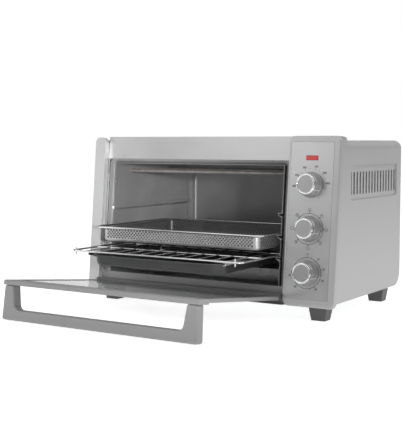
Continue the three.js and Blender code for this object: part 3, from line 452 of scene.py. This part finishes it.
def join_rings(bm, rings, closed=False):
    """Faces between neighbouring rings of vertices that have the same count."""
    pairs = list(zip(rings, rings[1:])) + ([(rings[-1], rings[0])] if closed else [])
    for first, second in pairs:
        count = len(first)
        for j in range(count):
            k = (j + 1) % count
            bm.faces.new((first[j], first[k], second[k], second[j]))


def turned(bm, profile, place, sides=64, material=0):
    """A solid turned about an axis. The profile lists (radius, height); a radius of 0 closes it."""
    rings = []
    for radius, level in profile:
        if radius == 0:
            rings.append([bm.verts.new(place @ Vector((0, 0, level)))])
            continue
        turns = [2 * math.pi * j / sides for j in range(sides)]
        rings.append([bm.verts.new(place @ Vector((radius * math.cos(t), radius * math.sin(t), level)))
                      for t in turns])
    for first, second in zip(rings, rings[1:]):
        for j in range(sides):
            k = (j + 1) % sides
            corners = [first[j % len(first)], first[k % len(first)], second[k % len(second)],
                       second[j % len(second)]]
            face = bm.faces.new(list(dict.fromkeys(corners)))
            face.material_index = material
    return rings


print("helpers ready")

# %% [markdown]
# ## Sheet metal and mouldings
# The casing is one folded sheet, the bezel two moulded end caps with a steel rail between them. Their plain
# solids already have the right size, so each is copied and its edges are rounded: tightly on a folded
# sheet, more on a moulding. A round edge catches a thin line of light, and that line says what it is made of.

# %% Casing, bezel and base
RAIL_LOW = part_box("front_frame")[1][2] - 38.4 * MM
softened("casing", paint, 0.9 * MM, 3)
for node, width in {"left_end_cap": 2.0, "control_housing": 1.6}.items():
    softened(node, plastic, width * MM, 3)
softened("front_frame", brushed, 0.5 * MM, 3, parting=(RAIL_LOW, enamel))
softened("control_fascia", brushed, 0.35 * MM, 2)
softened("lamp_lens", lamp_red, 0.5 * MM, 3)
for node in ("base_plate", "rear_panel"):
    softened(node, galvanised, 0.35 * MM, 2, 50.0)

# %% [markdown]
# The feet and the lead's inlet are black mouldings. The screws on the rear panel are plated, and they are
# small, so a fine bevel is all they need.

# %% Feet, inlet and screws
for end in ("front", "rear"):
    for side in ("left", "right"):
        softened(f"foot_{end}_{side}", black, 2.4 * MM, 4, 30.0)
for row in ("lower", "upper"):
    for side in ("left", "right"):
        softened(f"rear_screw_{row}_{side}", chrome, 0.25 * MM, 2, 50.0)
softened("cord_gland", black, 0.5 * MM, 2)

# %% [markdown]
# ## The cavity
# The walls are pressed sheet, so ledges and the rear bulge have soft edges. The elements are steel tubes
# that end in ceramic beads. A wall is enamelled on the cavity's side only, and its outer side is painted very
# dark, as painted shade.

# %% Cavity walls


def paint_shade_outside(piece, outward):
    """Paints the side of an enamelled sheet that faces away from the cavity very dark, as painted shade."""
    piece.data.materials.append(painted_shade_steel)
    for face in piece.data.polygons:
        if face.normal.dot(Vector(outward)) > 0.7:
            face.material_index = 1


OUTWARD = {"cavity_left_wall": (-1, 0, 0), "cavity_right_wall": (1, 0, 0), "cavity_ceiling": (0, 0, 1),
           "cavity_floor": (0, 0, -1)}
for node, outward in OUTWARD.items():
    paint_shade_outside(softened(node, enamel, 0.4 * MM, 2), outward)
softened("cavity_back_wall", enamel, 0.4 * MM, 2, 60.0)
softened("lower_heat_shield", enamel, 0.35 * MM, 2)
softened("crumb_tray", galvanised, 0.35 * MM, 2)
print(len(OUTWARD), "walls enamelled on their inner side only")

# %% [markdown]
# Where the cavity meets the front frame its sheet is rolled outward to stiffen the mouth. That quarter round
# catches a long highlight on the left, so it is swept as a piece of its own, up one side, across the top and
# down the other. It is drawn in the bezel's own leaning space, which comes from the door's hinge.

# %% Rolled mouth
HINGE_DEPTH = 3.9 * MM
HINGE_HEIGHT = 11.92 * MM
FRAME_BACK = 12.5 * MM
ROLL = 12.5 * MM
ROLL_STEPS = 10
MOUTH_SHEET = 1.0 * MM
MOUTH_GAP = 0.2 * MM
MOUTH_CORNER = 1.5 * MM
CORNER_STEPS = 6
WALL_SHEET = 1.2 * MM
ABOVE_FLOOR = 4 * MM


def bezel_place():
    """A matrix for the leaning bezel: X across, Y into the oven, Z up its face."""
    out = Vector(joint_of["timer_turn"]["axis"]).normalized()
    out = out if out.y < 0 else -out
    across = Vector((1, 0, 0))
    up = out.cross(across)
    turn = Matrix((across, -out, up)).transposed()
    hinge = Vector(joint_of["door_hinge"]["pos_m"])
    origin = hinge - turn @ Vector((0, HINGE_DEPTH, HINGE_HEIGHT))
    return Matrix.Translation(origin) @ turn.to_4x4()


def mouth_path(left, right, low, top, out):
    """Up the left side, over the top and down the right, a distance `out` outside the cavity's sheet."""
    corner = MOUTH_CORNER + out
    level = top + out - corner
    arc = [math.radians(90 * k / CORNER_STEPS) for k in range(CORNER_STEPS + 1)]
    path = [(left - out, low)]
    path += [(left - out + corner - corner * math.cos(t), level + corner * math.sin(t)) for t in arc]
    path += [(right + out - corner + corner * math.sin(t), level + corner * math.cos(t)) for t in arc]
    return path + [(right + out, low)]


def rolled_mouth():
    """A quarter-round flange from the cavity's walls and ceiling out to the front frame."""
    place = bezel_place()
    down = place.inverted()
    ceiling_low, ceiling_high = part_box("cavity_ceiling")
    left = ceiling_low[0] + WALL_SHEET
    right = ceiling_high[0] - WALL_SHEET
    top = (down @ Vector((0, ceiling_low[1], ceiling_low[2]))).z
    low = (down @ Vector((0, ceiling_low[1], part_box("cavity_floor")[1][2] + ABOVE_FLOOR))).z
    turns = [math.radians(90 * i / ROLL_STEPS) for i in range(ROLL_STEPS + 1)]
    outline = [(0.0, turn) for turn in turns] + [(MOUTH_SHEET, turn) for turn in reversed(turns)]
    rings = []
    bm = bmesh.new()
    for skin, turn in outline:
        out = ROLL - (ROLL - skin) * math.cos(turn) - MOUTH_GAP
        depth = FRAME_BACK + ROLL - (ROLL - skin) * math.sin(turn)
        path = mouth_path(left, right, low, top, out)
        rings.append([bm.verts.new(place @ Vector((x, depth, z))) for x, z in path])
    for first, second in zip(rings, rings[1:] + rings[:1]):
        for j in range(len(first) - 1):
            bm.faces.new((first[j], first[j + 1], second[j + 1], second[j]))
    for end in (0, -1):
        bm.faces.new([ring[end] for ring in rings])
    bmesh.ops.recalc_face_normals(bm, faces=bm.faces)
    return make_piece("rolled_mouth", bm, [enamel], ["cavity_ceiling"])


mouth = rolled_mouth()
print("mouth", [round(value, 3) for value in mouth.dimensions])

# %% [markdown]
# Behind the walls sit the controls and the fan. They keep their plain solids, and get a very dark finish,
# whose darkness is painted shade, or, on the shafts and pins, a plated one.

# %% Hidden pieces
HIDDEN = {painted_shade_steel: ["thermostat", "function_switch", "timer_mechanism", "timer_bell", "fan_housing",
                 "fan_motor", "fan_wheel", "fan_grille"],
          chrome: ["temperature_shaft", "function_shaft", "timer_shaft", "fan_shaft",
                   "hinge_pin_left", "hinge_pin_right"]}
for material, nodes in HIDDEN.items():
    for node in nodes:
        mesh = frame["nodes"][node].data
        mesh.materials.clear()
        mesh.materials.append(material)
print(sum(len(nodes) for nodes in HIDDEN.values()), "plain solids with a finish")

# %% [markdown]
# A thin black sheet stands just inside the louvres as painted shade: it hides what is inside, so the slots
# look evenly dark. Its edge is turned back to stiffen it.

# %% Louvre shade sheet
SHADE_SHEET_GAP = 4.4 * MM
FROM_FRONT = 80 * MM
FROM_REAR = 12 * MM
BELOW_TOP = (125 * MM, 28 * MM)
SHADE_SHEET_CORNER = 6 * MM
SHADE_SHEET_PROFILE = [(1.4, 1.2), (0.6, 3.0), (0.0, 3.0), (0.0, 0.6), (0.6, 0.0), (2.0, 0.0)]


def louvre_shade_sheet(side):
    """A dark shallow tray inside one side of the casing, its back to the slots, as painted shade. Side is 1 or -1.
    """
    low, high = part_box("casing")
    bm = bmesh.new()
    rings = []
    for inset, depth in SHADE_SHEET_PROFILE:
        inset = inset * MM
        loop = rounded_loop((low[1] + FROM_FRONT + inset, high[1] - FROM_REAR - inset),
                            (high[2] - BELOW_TOP[0] + inset, high[2] - BELOW_TOP[1] - inset),
                            SHADE_SHEET_CORNER - inset, 0)
        x = side * (high[0] - SHADE_SHEET_GAP - depth * MM)
        rings.append([bm.verts.new((x, point.x, point.y)) for point in loop])
    join_rings(bm, rings)
    bm.faces.new(rings[-1])
    bm.faces.new(rings[0][::-1])
    bmesh.ops.recalc_face_normals(bm, faces=bm.faces)
    return make_piece("louvre_shade_sheet_right" if side > 0 else "louvre_shade_sheet_left", bm, [painted_shade_steel], ["casing"])


shade_sheets = [louvre_shade_sheet(side) for side in (1, -1)]
print("shade_sheets", [round(value, 3) for value in shade_sheets[0].dimensions])

# %% Heating elements
BEAD_LENGTH = 6.8 * MM
BEAD_RADIUS = 5.0 * MM
SHEATH_RADIUS = 3.2 * MM
BEAD = [(0, 0), (0.7, 0), (0.92, 0.06), (1, 0.15), (1, 0.85), (0.92, 0.94), (0.7, 1)]


def heating_element(node):
    """A steel tube with a ceramic bead at each end."""
    low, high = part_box(node)
    centre = Vector((0, (low[1] + high[1]) / 2, (low[2] + high[2]) / 2))
    x0, x1 = low[0], high[0]
    left = [(radius * BEAD_RADIUS, x0 + share * BEAD_LENGTH) for radius, share in BEAD]
    right = [(radius, x1 + x0 - x) for radius, x in left][::-1]
    place = Matrix.Translation(centre) @ Matrix.Rotation(math.radians(90), 4, "Y")
    bm = bmesh.new()
    turned(bm, left + [(SHEATH_RADIUS, x0 + BEAD_LENGTH), (SHEATH_RADIUS, x1 - BEAD_LENGTH)] + right,
           place, 24)
    for face in bm.faces:
        x = face.calc_center_median().x
        face.material_index = 0 if x0 + BEAD_LENGTH < x < x1 - BEAD_LENGTH else 1
    bmesh.ops.recalc_face_normals(bm, faces=bm.faces)
    piece = make_piece(node + "_tube", bm, [sheath, ceramic], [node])
    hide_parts(node)
    return piece


for level in ("lower", "upper"):
    for end in ("front", "rear"):
        heating_element(f"{level}_{end}_element")
near_end, far_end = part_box("upper_front_element")
print("elements", round(far_end[0] - near_end[0], 3), "m long")

# %% [markdown]
# ## The door
# The door is a sheet of glass in a black bottom rail, two side trims and a deep top trim that carries the
# handle. The handle is one moulding with generous round edges, so it has the widest bevel of all.

# %% Door
softened("door_handle", handle_grey, 2.6 * MM, 4, 50.0)
softened("door_top_trim", handle_grey, 0.9 * MM, 3)
softened("door_left_trim", handle_grey, 0.5 * MM, 2)
softened("door_right_trim", handle_grey, 0.5 * MM, 2)
softened("door_bottom_rail", black, 0.6 * MM, 2)
softened("door_glass", glass, 0.4 * MM, 2)

# %% [markdown]
# ## Wire rack
# A heavy wire is bent into a frame, thin bars lie across it and two heavy ones stiffen them. Each wire is
# swept as a round tube, because a wire's highlight runs along it and shows every flat side.

# %% Wire rack
HEAVY = 1.6 * MM
THIN = 1.2 * MM
RACK_CORNER = 10 * MM
RACK_BARS = 11
STIFFENERS = (0.33, 0.67)
STIFFENER_DROP = 0.3 * MM


def wire_rack():
    """The rack's frame, bars and two stops, centred on the plane of the plain solid."""
    low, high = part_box("wire_rack")
    z = (low[2] + high[2]) / 2
    span_x = (low[0] + HEAVY, high[0] - HEAVY)
    span_y = (low[1] + HEAVY, high[1] - HEAVY)
    bm = bmesh.new()
    wire(bm, rounded_loop(span_x, span_y, RACK_CORNER, z, 10), HEAVY, closed=True, sides=16)
    step = (span_x[1] - span_x[0]) / (RACK_BARS + 1)
    for i in range(1, RACK_BARS + 1):
        x = span_x[0] + i * step
        wire(bm, [Vector((x, span_y[0], z)), Vector((x, span_y[1], z))], THIN)
    for share in STIFFENERS:
        y = span_y[0] + share * (span_y[1] - span_y[0])
        wire(bm, [Vector((x, y, z - STIFFENER_DROP)) for x in span_x], HEAVY)
    for x in (span_x[0] + RACK_CORNER, span_x[1] - RACK_CORNER):
        ends = [Vector((x, span_y[0], low[2])), Vector((x, span_y[0], high[2]))]
        wire(bm, ends, THIN, up=Vector((1, 0, 0)))
    bmesh.ops.recalc_face_normals(bm, faces=bm.faces)
    piece = make_piece("rack_wires", bm, [chrome], ["wire_rack"])
    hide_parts("wire_rack")
    return piece


rack = wire_rack()
for side in ("left", "right"):
    softened(f"pan_runner_{side}", chrome, 0.25 * MM, 2)
print("rack", len(rack.data.polygons), "faces")

# %% [markdown]
# ## Air-fry basket
# The basket is thin perforated sheet, drawn into a shallow tray and hung from a wire rim. The holes are the
# thing that people see, so they are cut for real. A shader could fake them, but light has to pass through
# them and their edges have to glint. Each hole is an octagon in a small tile, the tiles share corners,
# every other row is shifted half a tile as a press does it, and a Solidify modifier gives the thickness.
# The inside is painted darker than the bright outside, as painted shade, so the holes stand out against the bright
# steel.

# %% Perforated sheet
HOLE_ACROSS = 2.1 * MM
HOLE_UP = 1.6 * MM
EIGHTHS = [math.pi / 4 * k for k in range(8)]


def perforated(bm, corner_at, hole_at, columns, rows):
    """Tiles with a hole each over a lattice of half columns. Returns nothing; faces go into bm.

    corner_at(i, j) gives the shared vertex of half column i and row j, and hole_at(i, j) makes the eight
    vertices of the hole whose tile starts at half column i, in row j."""
    for j in range(rows):
        start = j % 2
        if start:
            for i in (0, 2 * columns - 1):
                bm.faces.new((corner_at(i, j), corner_at(i + 1, j), corner_at(i + 1, j + 1),
                              corner_at(i, j + 1)))
        for i in range(start, 2 * columns - 1, 2):
            tile(bm, [corner_at(i + k, j) for k in range(3)], [corner_at(i + k, j + 1) for k in range(3)],
                 hole_at(i, j))


def tile(bm, low, high, hole):
    """Six faces between a tile's edge and its eight-sided hole. hole[0] points right, then anticlockwise."""
    bm.faces.new((low[0], low[1], hole[6], hole[5]))
    bm.faces.new((low[1], low[2], hole[7], hole[6]))
    bm.faces.new((low[2], high[2], hole[1], hole[0], hole[7]))
    bm.faces.new((high[2], high[1], hole[2], hole[1]))
    bm.faces.new((high[1], high[0], hole[3], hole[2]))
    bm.faces.new((high[0], low[0], hole[5], hole[4], hole[3]))


# %% Basket shell
BASKET_CORNER = 7 * MM
BASKET_STEPS = 8
BASKET_LIP = 1.6 * MM
BRIM = [(0, 1.2), (0.3, 0.5), (1.0, 0.1)]
BASKET_ROLL = 5 * MM
COLUMN_PITCH = 6.2 * MM
WALL_ROWS = 5
FLOOR_PITCH = 8.5 * MM
FLOOR_HOLE = 2.2 * MM
FLOOR_MARGIN = 2.0 * MM
SHEET = 0.8 * MM
BASKET_INSET = 7.0 * MM


def wall_stations(low, high):
    """Points round the wall, each with its outward normal and the columns of the side it starts, or 0."""
    left, front = low.x + BASKET_CORNER, low.y + BASKET_CORNER
    right, rear = high.x - BASKET_CORNER, high.y - BASKET_CORNER
    sides = [((low.x, high.x), low.y, (right, front)), ((low.y, high.y), high.x, (right, rear)),
             ((low.x, high.x), high.y, (left, rear)), ((low.y, high.y), low.x, (left, front))]
    stations = []
    for quarter, ((start, end), level, centre) in enumerate(sides):
        length = end - start - 2 * BASKET_CORNER
        columns = round(length / COLUMN_PITCH)
        normal = Vector([(0, -1), (1, 0), (0, 1), (-1, 0)][quarter])
        for i in range(2 * columns + 1):
            along = start + BASKET_CORNER + length * i / (2 * columns)
            back = start + end - along
            point = [(along, level), (level, along), (back, level), (level, back)][quarter]
            stations.append((Vector(point), normal, columns if i == 0 else 0))
        for i in range(1, BASKET_STEPS):
            turn = math.radians(90 * (quarter - 1) + 90 * i / BASKET_STEPS)
            out = Vector((math.cos(turn), math.sin(turn)))
            stations.append((Vector(centre) + BASKET_CORNER * out, out, 0))
    return stations


def basket_walls(bm, stations, rings, heights):
    """Faces between the rings of the wall: perforated along the four sides, plain round the corners."""
    count = len(stations)
    along_sides = set()
    for start, (_, _, columns) in enumerate(stations):
        if not columns:
            continue
        along_sides.update(range(start, start + 2 * columns))

        def corner_at(i, j, start=start):
            return rings[j][(start + i) % count]

        def hole_at(i, j, start=start):
            first = stations[start + i][0]
            last = stations[start + i + 2][0]
            middle = (first + last) / 2
            along = (last - first).normalized()
            z = (heights[j] + heights[j + 1]) / 2
            return [bm.verts.new((*(middle + HOLE_ACROSS * math.cos(t) * along), z + HOLE_UP * math.sin(t)))
                    for t in EIGHTHS]

        perforated(bm, corner_at, hole_at, columns, WALL_ROWS)
    for low, high in zip(rings, rings[1:]):
        for i in range(count):
            if i not in along_sides:
                k = (i + 1) % count
                bm.faces.new((low[i], low[k], high[k], high[i]))


def basket_shell():
    """A perforated tray: four walls with round corners, a brim, a rolled edge and a perforated floor."""
    outer_low, outer_high = (Vector(corner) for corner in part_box("basket_shell"))
    low = outer_low + Vector((BASKET_INSET, BASKET_INSET, 0))
    high = outer_high - Vector((BASKET_INSET, BASKET_INSET, 0))
    stations = wall_stations(low, high)
    bm = bmesh.new()

    def ring(out, z):
        return [bm.verts.new((*(point + out * normal), z)) for point, normal, _ in stations]

    bottom = low.z + BASKET_ROLL
    row = (high.z - BASKET_LIP - bottom) / WALL_ROWS
    heights = [bottom + row * j for j in range(WALL_ROWS + 1)]
    walls = [ring(0, z) for z in heights]
    basket_walls(bm, stations, walls, heights)
    brim = [ring(out * MM, high.z - drop * MM) for out, drop in BRIM] + [ring(BASKET_INSET, high.z)]
    roll = [ring(BASKET_ROLL * (math.cos(t) - 1), low.z + BASKET_ROLL * (1 - math.sin(t)))
            for t in (math.pi / 2 * k / 5 for k in range(5, 0, -1))]
    join_rings(bm, [walls[-1]] + brim)
    join_rings(bm, roll + [walls[0]])
    basket_floor(bm, roll[0], low, high)
    bmesh.ops.recalc_face_normals(bm, faces=bm.faces)
    # The inner side gets the darker material, as painted shade inside the basket.
    piece = make_piece("basket_mesh", bm, [painted_shade_inside, mesh_steel], ["basket_shell"])
    thick = piece.modifiers.new("sheet", "SOLIDIFY")
    thick.thickness = SHEET
    thick.offset = -1
    thick.material_offset = 1
    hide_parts("basket_shell")
    return piece


def basket_floor(bm, edge_ring, low, high):
    """The floor: a perforated rectangle, joined to the ring of the rolled edge."""
    inset = BASKET_CORNER + FLOOR_MARGIN
    spans = [(low[k] + inset, high[k] - inset) for k in range(2)]
    columns, rows = (round((end - start) / FLOOR_PITCH) for start, end in spans)
    grid = {}

    def at(i, j):
        if (i, j) not in grid:
            x = spans[0][0] + (spans[0][1] - spans[0][0]) * i / (2 * columns)
            y = spans[1][0] + (spans[1][1] - spans[1][0]) * j / rows
            grid[(i, j)] = bm.verts.new((x, y, low.z))
        return grid[(i, j)]

    def hole_at(i, j):
        centre = (at(i, j).co + at(i + 2, j + 1).co) / 2
        return [bm.verts.new(centre + FLOOR_HOLE * Vector((math.cos(t), math.sin(t), 0))) for t in EIGHTHS]

    perforated(bm, at, hole_at, columns, rows)
    border = [at(i, 0) for i in range(2 * columns)] + [at(2 * columns, j) for j in range(rows)]
    border += [at(i, rows) for i in range(2 * columns, 0, -1)] + [at(0, j) for j in range(rows, 0, -1)]
    loops = [bm.edges.get((a, b)) for ring in (edge_ring, border) for a, b in zip(ring, ring[1:] + ring[:1])]
    bmesh.ops.bridge_loops(bm, edges=loops)


basket = basket_shell()
print("basket", len(basket.data.polygons), "faces")

# %% Basket rim
RIM_CORNER = 12 * MM


def basket_rim():
    """The wire rim that the basket hangs from."""
    low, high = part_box("basket_rim")
    bm = bmesh.new()
    path = rounded_loop((low[0] + HEAVY, high[0] - HEAVY), (low[1] + HEAVY, high[1] - HEAVY), RIM_CORNER,
                        (low[2] + high[2]) / 2, 10)
    wire(bm, path, HEAVY, closed=True, sides=16)
    bmesh.ops.recalc_face_normals(bm, faces=bm.faces)
    piece = make_piece("basket_rim_wire", bm, [chrome], ["basket_rim"])
    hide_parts("basket_rim")
    return piece


rim = basket_rim()
print("rim", [round(value, 4) for value in rim.dimensions])

# %% [markdown]
# ## Baking pan
# The pan is drawn from one sheet: a curled rim, a flat flange that slides in the runners, sloping walls and
# a wide round edge to the floor. A loft through rounded rectangles follows the press. The profile lists how
# far each loop stands in from the rim and how far below the top it lies.

# %% Baking pan
PAN_PROFILE = [(1.3, 1.9), (0.5, 1.8), (0.1, 1.3), (0.0, 0.8), (0.25, 0.25), (0.9, 0.0), (1.7, 0.1),
               (2.3, 0.45), (5.0, 0.5), (5.9, 0.7), (6.5, 1.4), (6.8, 2.4), (7.4, 10.0), (7.7, 12.5),
               (8.7, 14.9), (10.5, 16.5), (13.0, 17.3), (16.0, 17.5), (40.0, 17.3)]
PAN_CORNER = 32 * MM


def baking_pan():
    """The pan as a loft through rounded rectangles, with a thin sheet's thickness."""
    low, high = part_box("baking_pan")
    bm = bmesh.new()
    rings = []
    for inset, drop in PAN_PROFILE:
        by = inset * MM
        span_x, span_y = ((low[k] + by, high[k] - by) for k in range(2))
        corner = max(PAN_CORNER - by, 4 * MM)
        loop = rounded_loop(span_x, span_y, corner, high[2] - drop * MM, 14)
        rings.append([bm.verts.new(point) for point in loop])
    join_rings(bm, rings)
    bm.faces.new(rings[-1])
    bmesh.ops.recalc_face_normals(bm, faces=bm.faces)
    piece = make_piece("drawn_pan", bm, [nonstick], ["baking_pan"], 60.0)
    thick = piece.modifiers.new("sheet", "SOLIDIFY")
    thick.thickness = 0.8 * MM
    thick.offset = 0.0
    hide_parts("baking_pan")
    return piece


pan = baking_pan()
print("pan", [round(value, 4) for value in pan.dimensions])

# %% [markdown]
# ## Knobs
# Each knob is a tapered skirt with a chrome ring round a spun face, and a bright notch points at the
# setting. All three are turned on the same profile. Their place comes from the joint each one turns about,
# so a knob and its markings can't drift from the shaft.

# %% Dial places
DIALS = {"temperature": 118.0, "function": 110.0, "timer": 112.0}
SHAFT_IN = 10 * MM


def dial_place(dial):
    """A matrix that puts the plate's plane under local Z = 0, with local Z along the shaft, outward."""
    joint = joint_of[f"{dial}_turn"]
    out = Vector(joint["axis"]).normalized()
    if out.y > 0:
        out = -out
    across = Vector((1, 0, 0))
    up = out.cross(across)
    centre = Vector(joint["pos_m"]) - SHAFT_IN * out
    turn = Matrix((across, up, out)).transposed().to_4x4()
    return Matrix.Translation(centre) @ turn


print({dial: tuple(round(value, 4) for value in dial_place(dial).translation) for dial in DIALS})

# %% Knobs
SKIRT = [(0, 0.65), (19.6, 0.65), (20.2, 0.8), (20.3, 1.4), (20.3, 2.3), (20.1, 2.8), (19.5, 3.3),
         (19.2, 4.2), (18.5, 9.0), (18.0, 13.6), (17.6, 15.4), (16.9, 16.3), (15.8, 16.5), (0, 16.5)]
RING = [(0, 16.8), (16.0, 16.8), (16.4, 17.0), (16.5, 17.5), (16.5, 20.0), (16.3, 20.7), (15.8, 21.2),
        (15.0, 21.5), (14.2, 21.45), (13.5, 21.1), (13.1, 20.5)]
FACE = [(13.1, 20.5), (12.6, 20.45), (8.0, 20.6), (0, 20.65)]


def knob(dial, bearing):
    """A knob's skirt, and its cap with a ring, a face and a pointer. Bearing 90 points right."""
    place = dial_place(dial)
    scaled = place @ Matrix.Scale(MM, 4)
    bm = bmesh.new()
    turned(bm, SKIRT, scaled, 96)
    bmesh.ops.recalc_face_normals(bm, faces=bm.faces)
    lower = make_piece(f"{dial}_skirt", bm, [skirt], [f"{dial}_knob"], 35.0)
    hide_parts(f"{dial}_knob")
    bm = bmesh.new()
    turned(bm, RING, scaled, 96)
    turned(bm, FACE, scaled, 96, material=1)
    bmesh.ops.remove_doubles(bm, verts=bm.verts, dist=1e-6)
    pointer(bm, scaled, bearing, (12.8, 19.2), (4.0, 21.4), 1.5)
    bmesh.ops.recalc_face_normals(bm, faces=bm.faces)
    upper = make_piece(f"{dial}_cap", bm, [bright, spun], [f"{dial}_knob_cap"], 35.0)
    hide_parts(f"{dial}_knob_cap")
    return lower, upper


def pointer(bm, place, bearing, reach, levels_z, half):
    """A raised rib with a rounded back, from one radius to another along a bearing."""
    turn = math.radians(90 - bearing)
    along = Vector((math.cos(turn), math.sin(turn), 0))
    across = Vector((-along.y, along.x, 0))
    rings = []
    for share in (0.0, 0.15, 0.85, 1.0):
        radius = reach[0] + share * (reach[1] - reach[0])
        slim = 0.75 if share in (0.0, 1.0) else 1.0
        base = levels_z[0]
        top = base + (levels_z[1] - base) * slim
        shoulder = top * 0.3 + base * 0.7
        wide = half * slim
        section = [(-wide, base), (wide, base), (wide, shoulder),
                   (wide * 0.5, top), (-wide * 0.5, top), (-wide, shoulder)]
        rings.append([bm.verts.new(place @ (radius * along + side * across + Vector((0, 0, z))))
                      for side, z in section])
    join_rings(bm, rings)
    bm.faces.new(rings[0])
    bm.faces.new(rings[-1])


for dial, bearing in DIALS.items():
    knob(dial, bearing)
print("three knobs, each", round(2 * SKIRT[3][0], 1), "mm across")

# %% [markdown]
# ## Dial markings
# The plate is printed with rings, ticks and numbers. They are thin shapes with a real edge, laid on the
# plate, so they survive export. Only numbers and plain heater signs are used.

# %% Markings
INK_HEIGHT = 0.05 * MM
TICK_RADIUS = 25.4
NUMBER_RADIUS = 29.6
SIGN_RADIUS = 30.0
TEMPERATURES = [("200", -95), ("250", -60), ("300", -25), ("350", 15), ("400", 50), ("450", 85)]
MINUTES = [("0", 0), ("10", 40), ("20", 75), ("30", 110), ("40", 145), ("60", -140), ("50", -100)]


def ink_disc(bm, place, radius, inner=0.0, arc=(0, 360), sides=72):
    """A flat disc, ring or arc on a dial's plane, in millimetres."""
    count = max(3, round(sides * (arc[1] - arc[0]) / 360))
    turns = [math.radians(arc[0] + (arc[1] - arc[0]) * i / count) for i in range(count + 1)]
    outer = [bm.verts.new(place @ Vector((radius * math.cos(t), radius * math.sin(t), 0))) for t in turns]
    if inner:
        hollow = [bm.verts.new(place @ Vector((inner * math.cos(t), inner * math.sin(t), 0))) for t in turns]
        for i in range(count):
            bm.faces.new((outer[i], outer[i + 1], hollow[i + 1], hollow[i]))
    else:
        bm.faces.new(outer[:-1])


def ink_bar(bm, place, centre, length, width, tilt=0.0):
    """A flat bar on a dial's plane."""
    along = Vector((math.cos(tilt), math.sin(tilt), 0)) * length / 2
    across = Vector((-math.sin(tilt), math.cos(tilt), 0)) * width / 2
    middle = Vector((*centre, 0))
    bm.faces.new([bm.verts.new(place @ (middle + a * along + b * across))
                  for a, b in ((-1, -1), (1, -1), (1, 1), (-1, 1))])


def ink_number(bm, place, words, centre, size=4.4):
    """A number on a dial's plane, from the built-in typeface."""
    curve = bpy.data.curves.new("number", "FONT")
    curve.body = words
    curve.size = size
    curve.align_x = "CENTER"
    curve.align_y = "CENTER"
    curve.resolution_u = 3
    curve.offset = 0.12
    text = bpy.data.objects.new("number", curve)
    scene.collection.objects.link(text)
    shape = bpy.data.meshes.new_from_object(text.evaluated_get(bpy.context.evaluated_depsgraph_get()))
    shape.transform(place @ Matrix.Translation((*centre, 0)))
    bm.from_mesh(shape)
    bpy.data.objects.remove(text)
    bpy.data.curves.remove(curve)
    bpy.data.meshes.remove(shape)


def around(bearing, radius):
    """A point on a dial's plane. Bearing 0 is up and 90 is right."""
    turn = math.radians(90 - bearing)
    return radius * math.cos(turn), radius * math.sin(turn)


def markings():
    """All the printing on the plate, as one thin piece."""
    bm = bmesh.new()
    for dial, numbers in {"temperature": TEMPERATURES, "timer": MINUTES}.items():
        place = dial_place(dial) @ Matrix.Scale(MM, 4)
        for words, bearing in numbers:
            ink_bar(bm, place, around(bearing, TICK_RADIUS), 2.2, 0.8, math.radians(90 - bearing))
            ink_number(bm, place, words, around(bearing, NUMBER_RADIUS))
            x, y = around(bearing + 17, TICK_RADIUS)
            ink_disc(bm, place @ Matrix.Translation((x, y, 0)), 0.55, sides=16)
    for dial in ("function", "timer"):
        place = dial_place(dial) @ Matrix.Scale(MM, 4)
        ink_disc(bm, place, 24.8, 24.1)
    place = dial_place("function") @ Matrix.Scale(MM, 4)
    for i, bearing in enumerate((-90, -45, 0, 45, 90, 135, 180, -135)):
        x, y = around(bearing, TICK_RADIUS + 0.2)
        ink_disc(bm, place @ Matrix.Translation((x, y, 0)), 0.85, sides=16)
        x, y = around(bearing, SIGN_RADIUS)
        ink_disc(bm, place @ Matrix.Translation((x, y, 0)), 2.7, 2.15, sides=32)
        if i % 2:
            ink_bar(bm, place, (x, y + 0.9), 2.8, 0.6)
        if i % 3:
            ink_bar(bm, place, (x, y - 0.9), 2.8, 0.6)
    piece = make_piece("dial_markings", bm, [ink], ["control_fascia"])
    thick = piece.modifiers.new("ink", "SOLIDIFY")
    thick.thickness = INK_HEIGHT
    thick.offset = 1
    return piece


marks = markings()
print("markings", len(marks.data.polygons), "faces")

# %% [markdown]
# ## The stand
# The oven stands on a plain white floor. The floor isn't part of the object. It glows towards the camera,
# so that it shows white, and only half as much towards the oven, because a white floor at full strength
# would light the oven from below.

# %% Floor
TO_CAMERA = 0.8
SHARE_TO_OVEN = 0.45
bm = bmesh.new()
bmesh.ops.create_grid(bm, x_segments=8, y_segments=8, size=6.0)
floor_mesh = bpy.data.meshes.new("floor")
bm.to_mesh(floor_mesh)
bm.free()
floor = bpy.data.objects.new("floor", floor_mesh)
scene.collection.objects.link(floor)
white = finish("white_stand", (0.80, 0.80, 0.80), 0.7, tone=0.004, bump=0.0, dusty=0.0,
               Emission_Color=(1.0, 1.0, 1.0, 1.0))
stand = white.node_tree
ray = add(stand, "ShaderNodeLightPath")
share = add(stand, "ShaderNodeMath", {"operation": "MAXIMUM"},
            {0: ray.outputs["Is Camera Ray"], 1: SHARE_TO_OVEN})
glow = times(stand, share.outputs[0], TO_CAMERA)
stand.links.new(glow, stand.nodes["Principled BSDF"].inputs["Emission Strength"])
floor_mesh.materials.append(white)
print("floor ready")
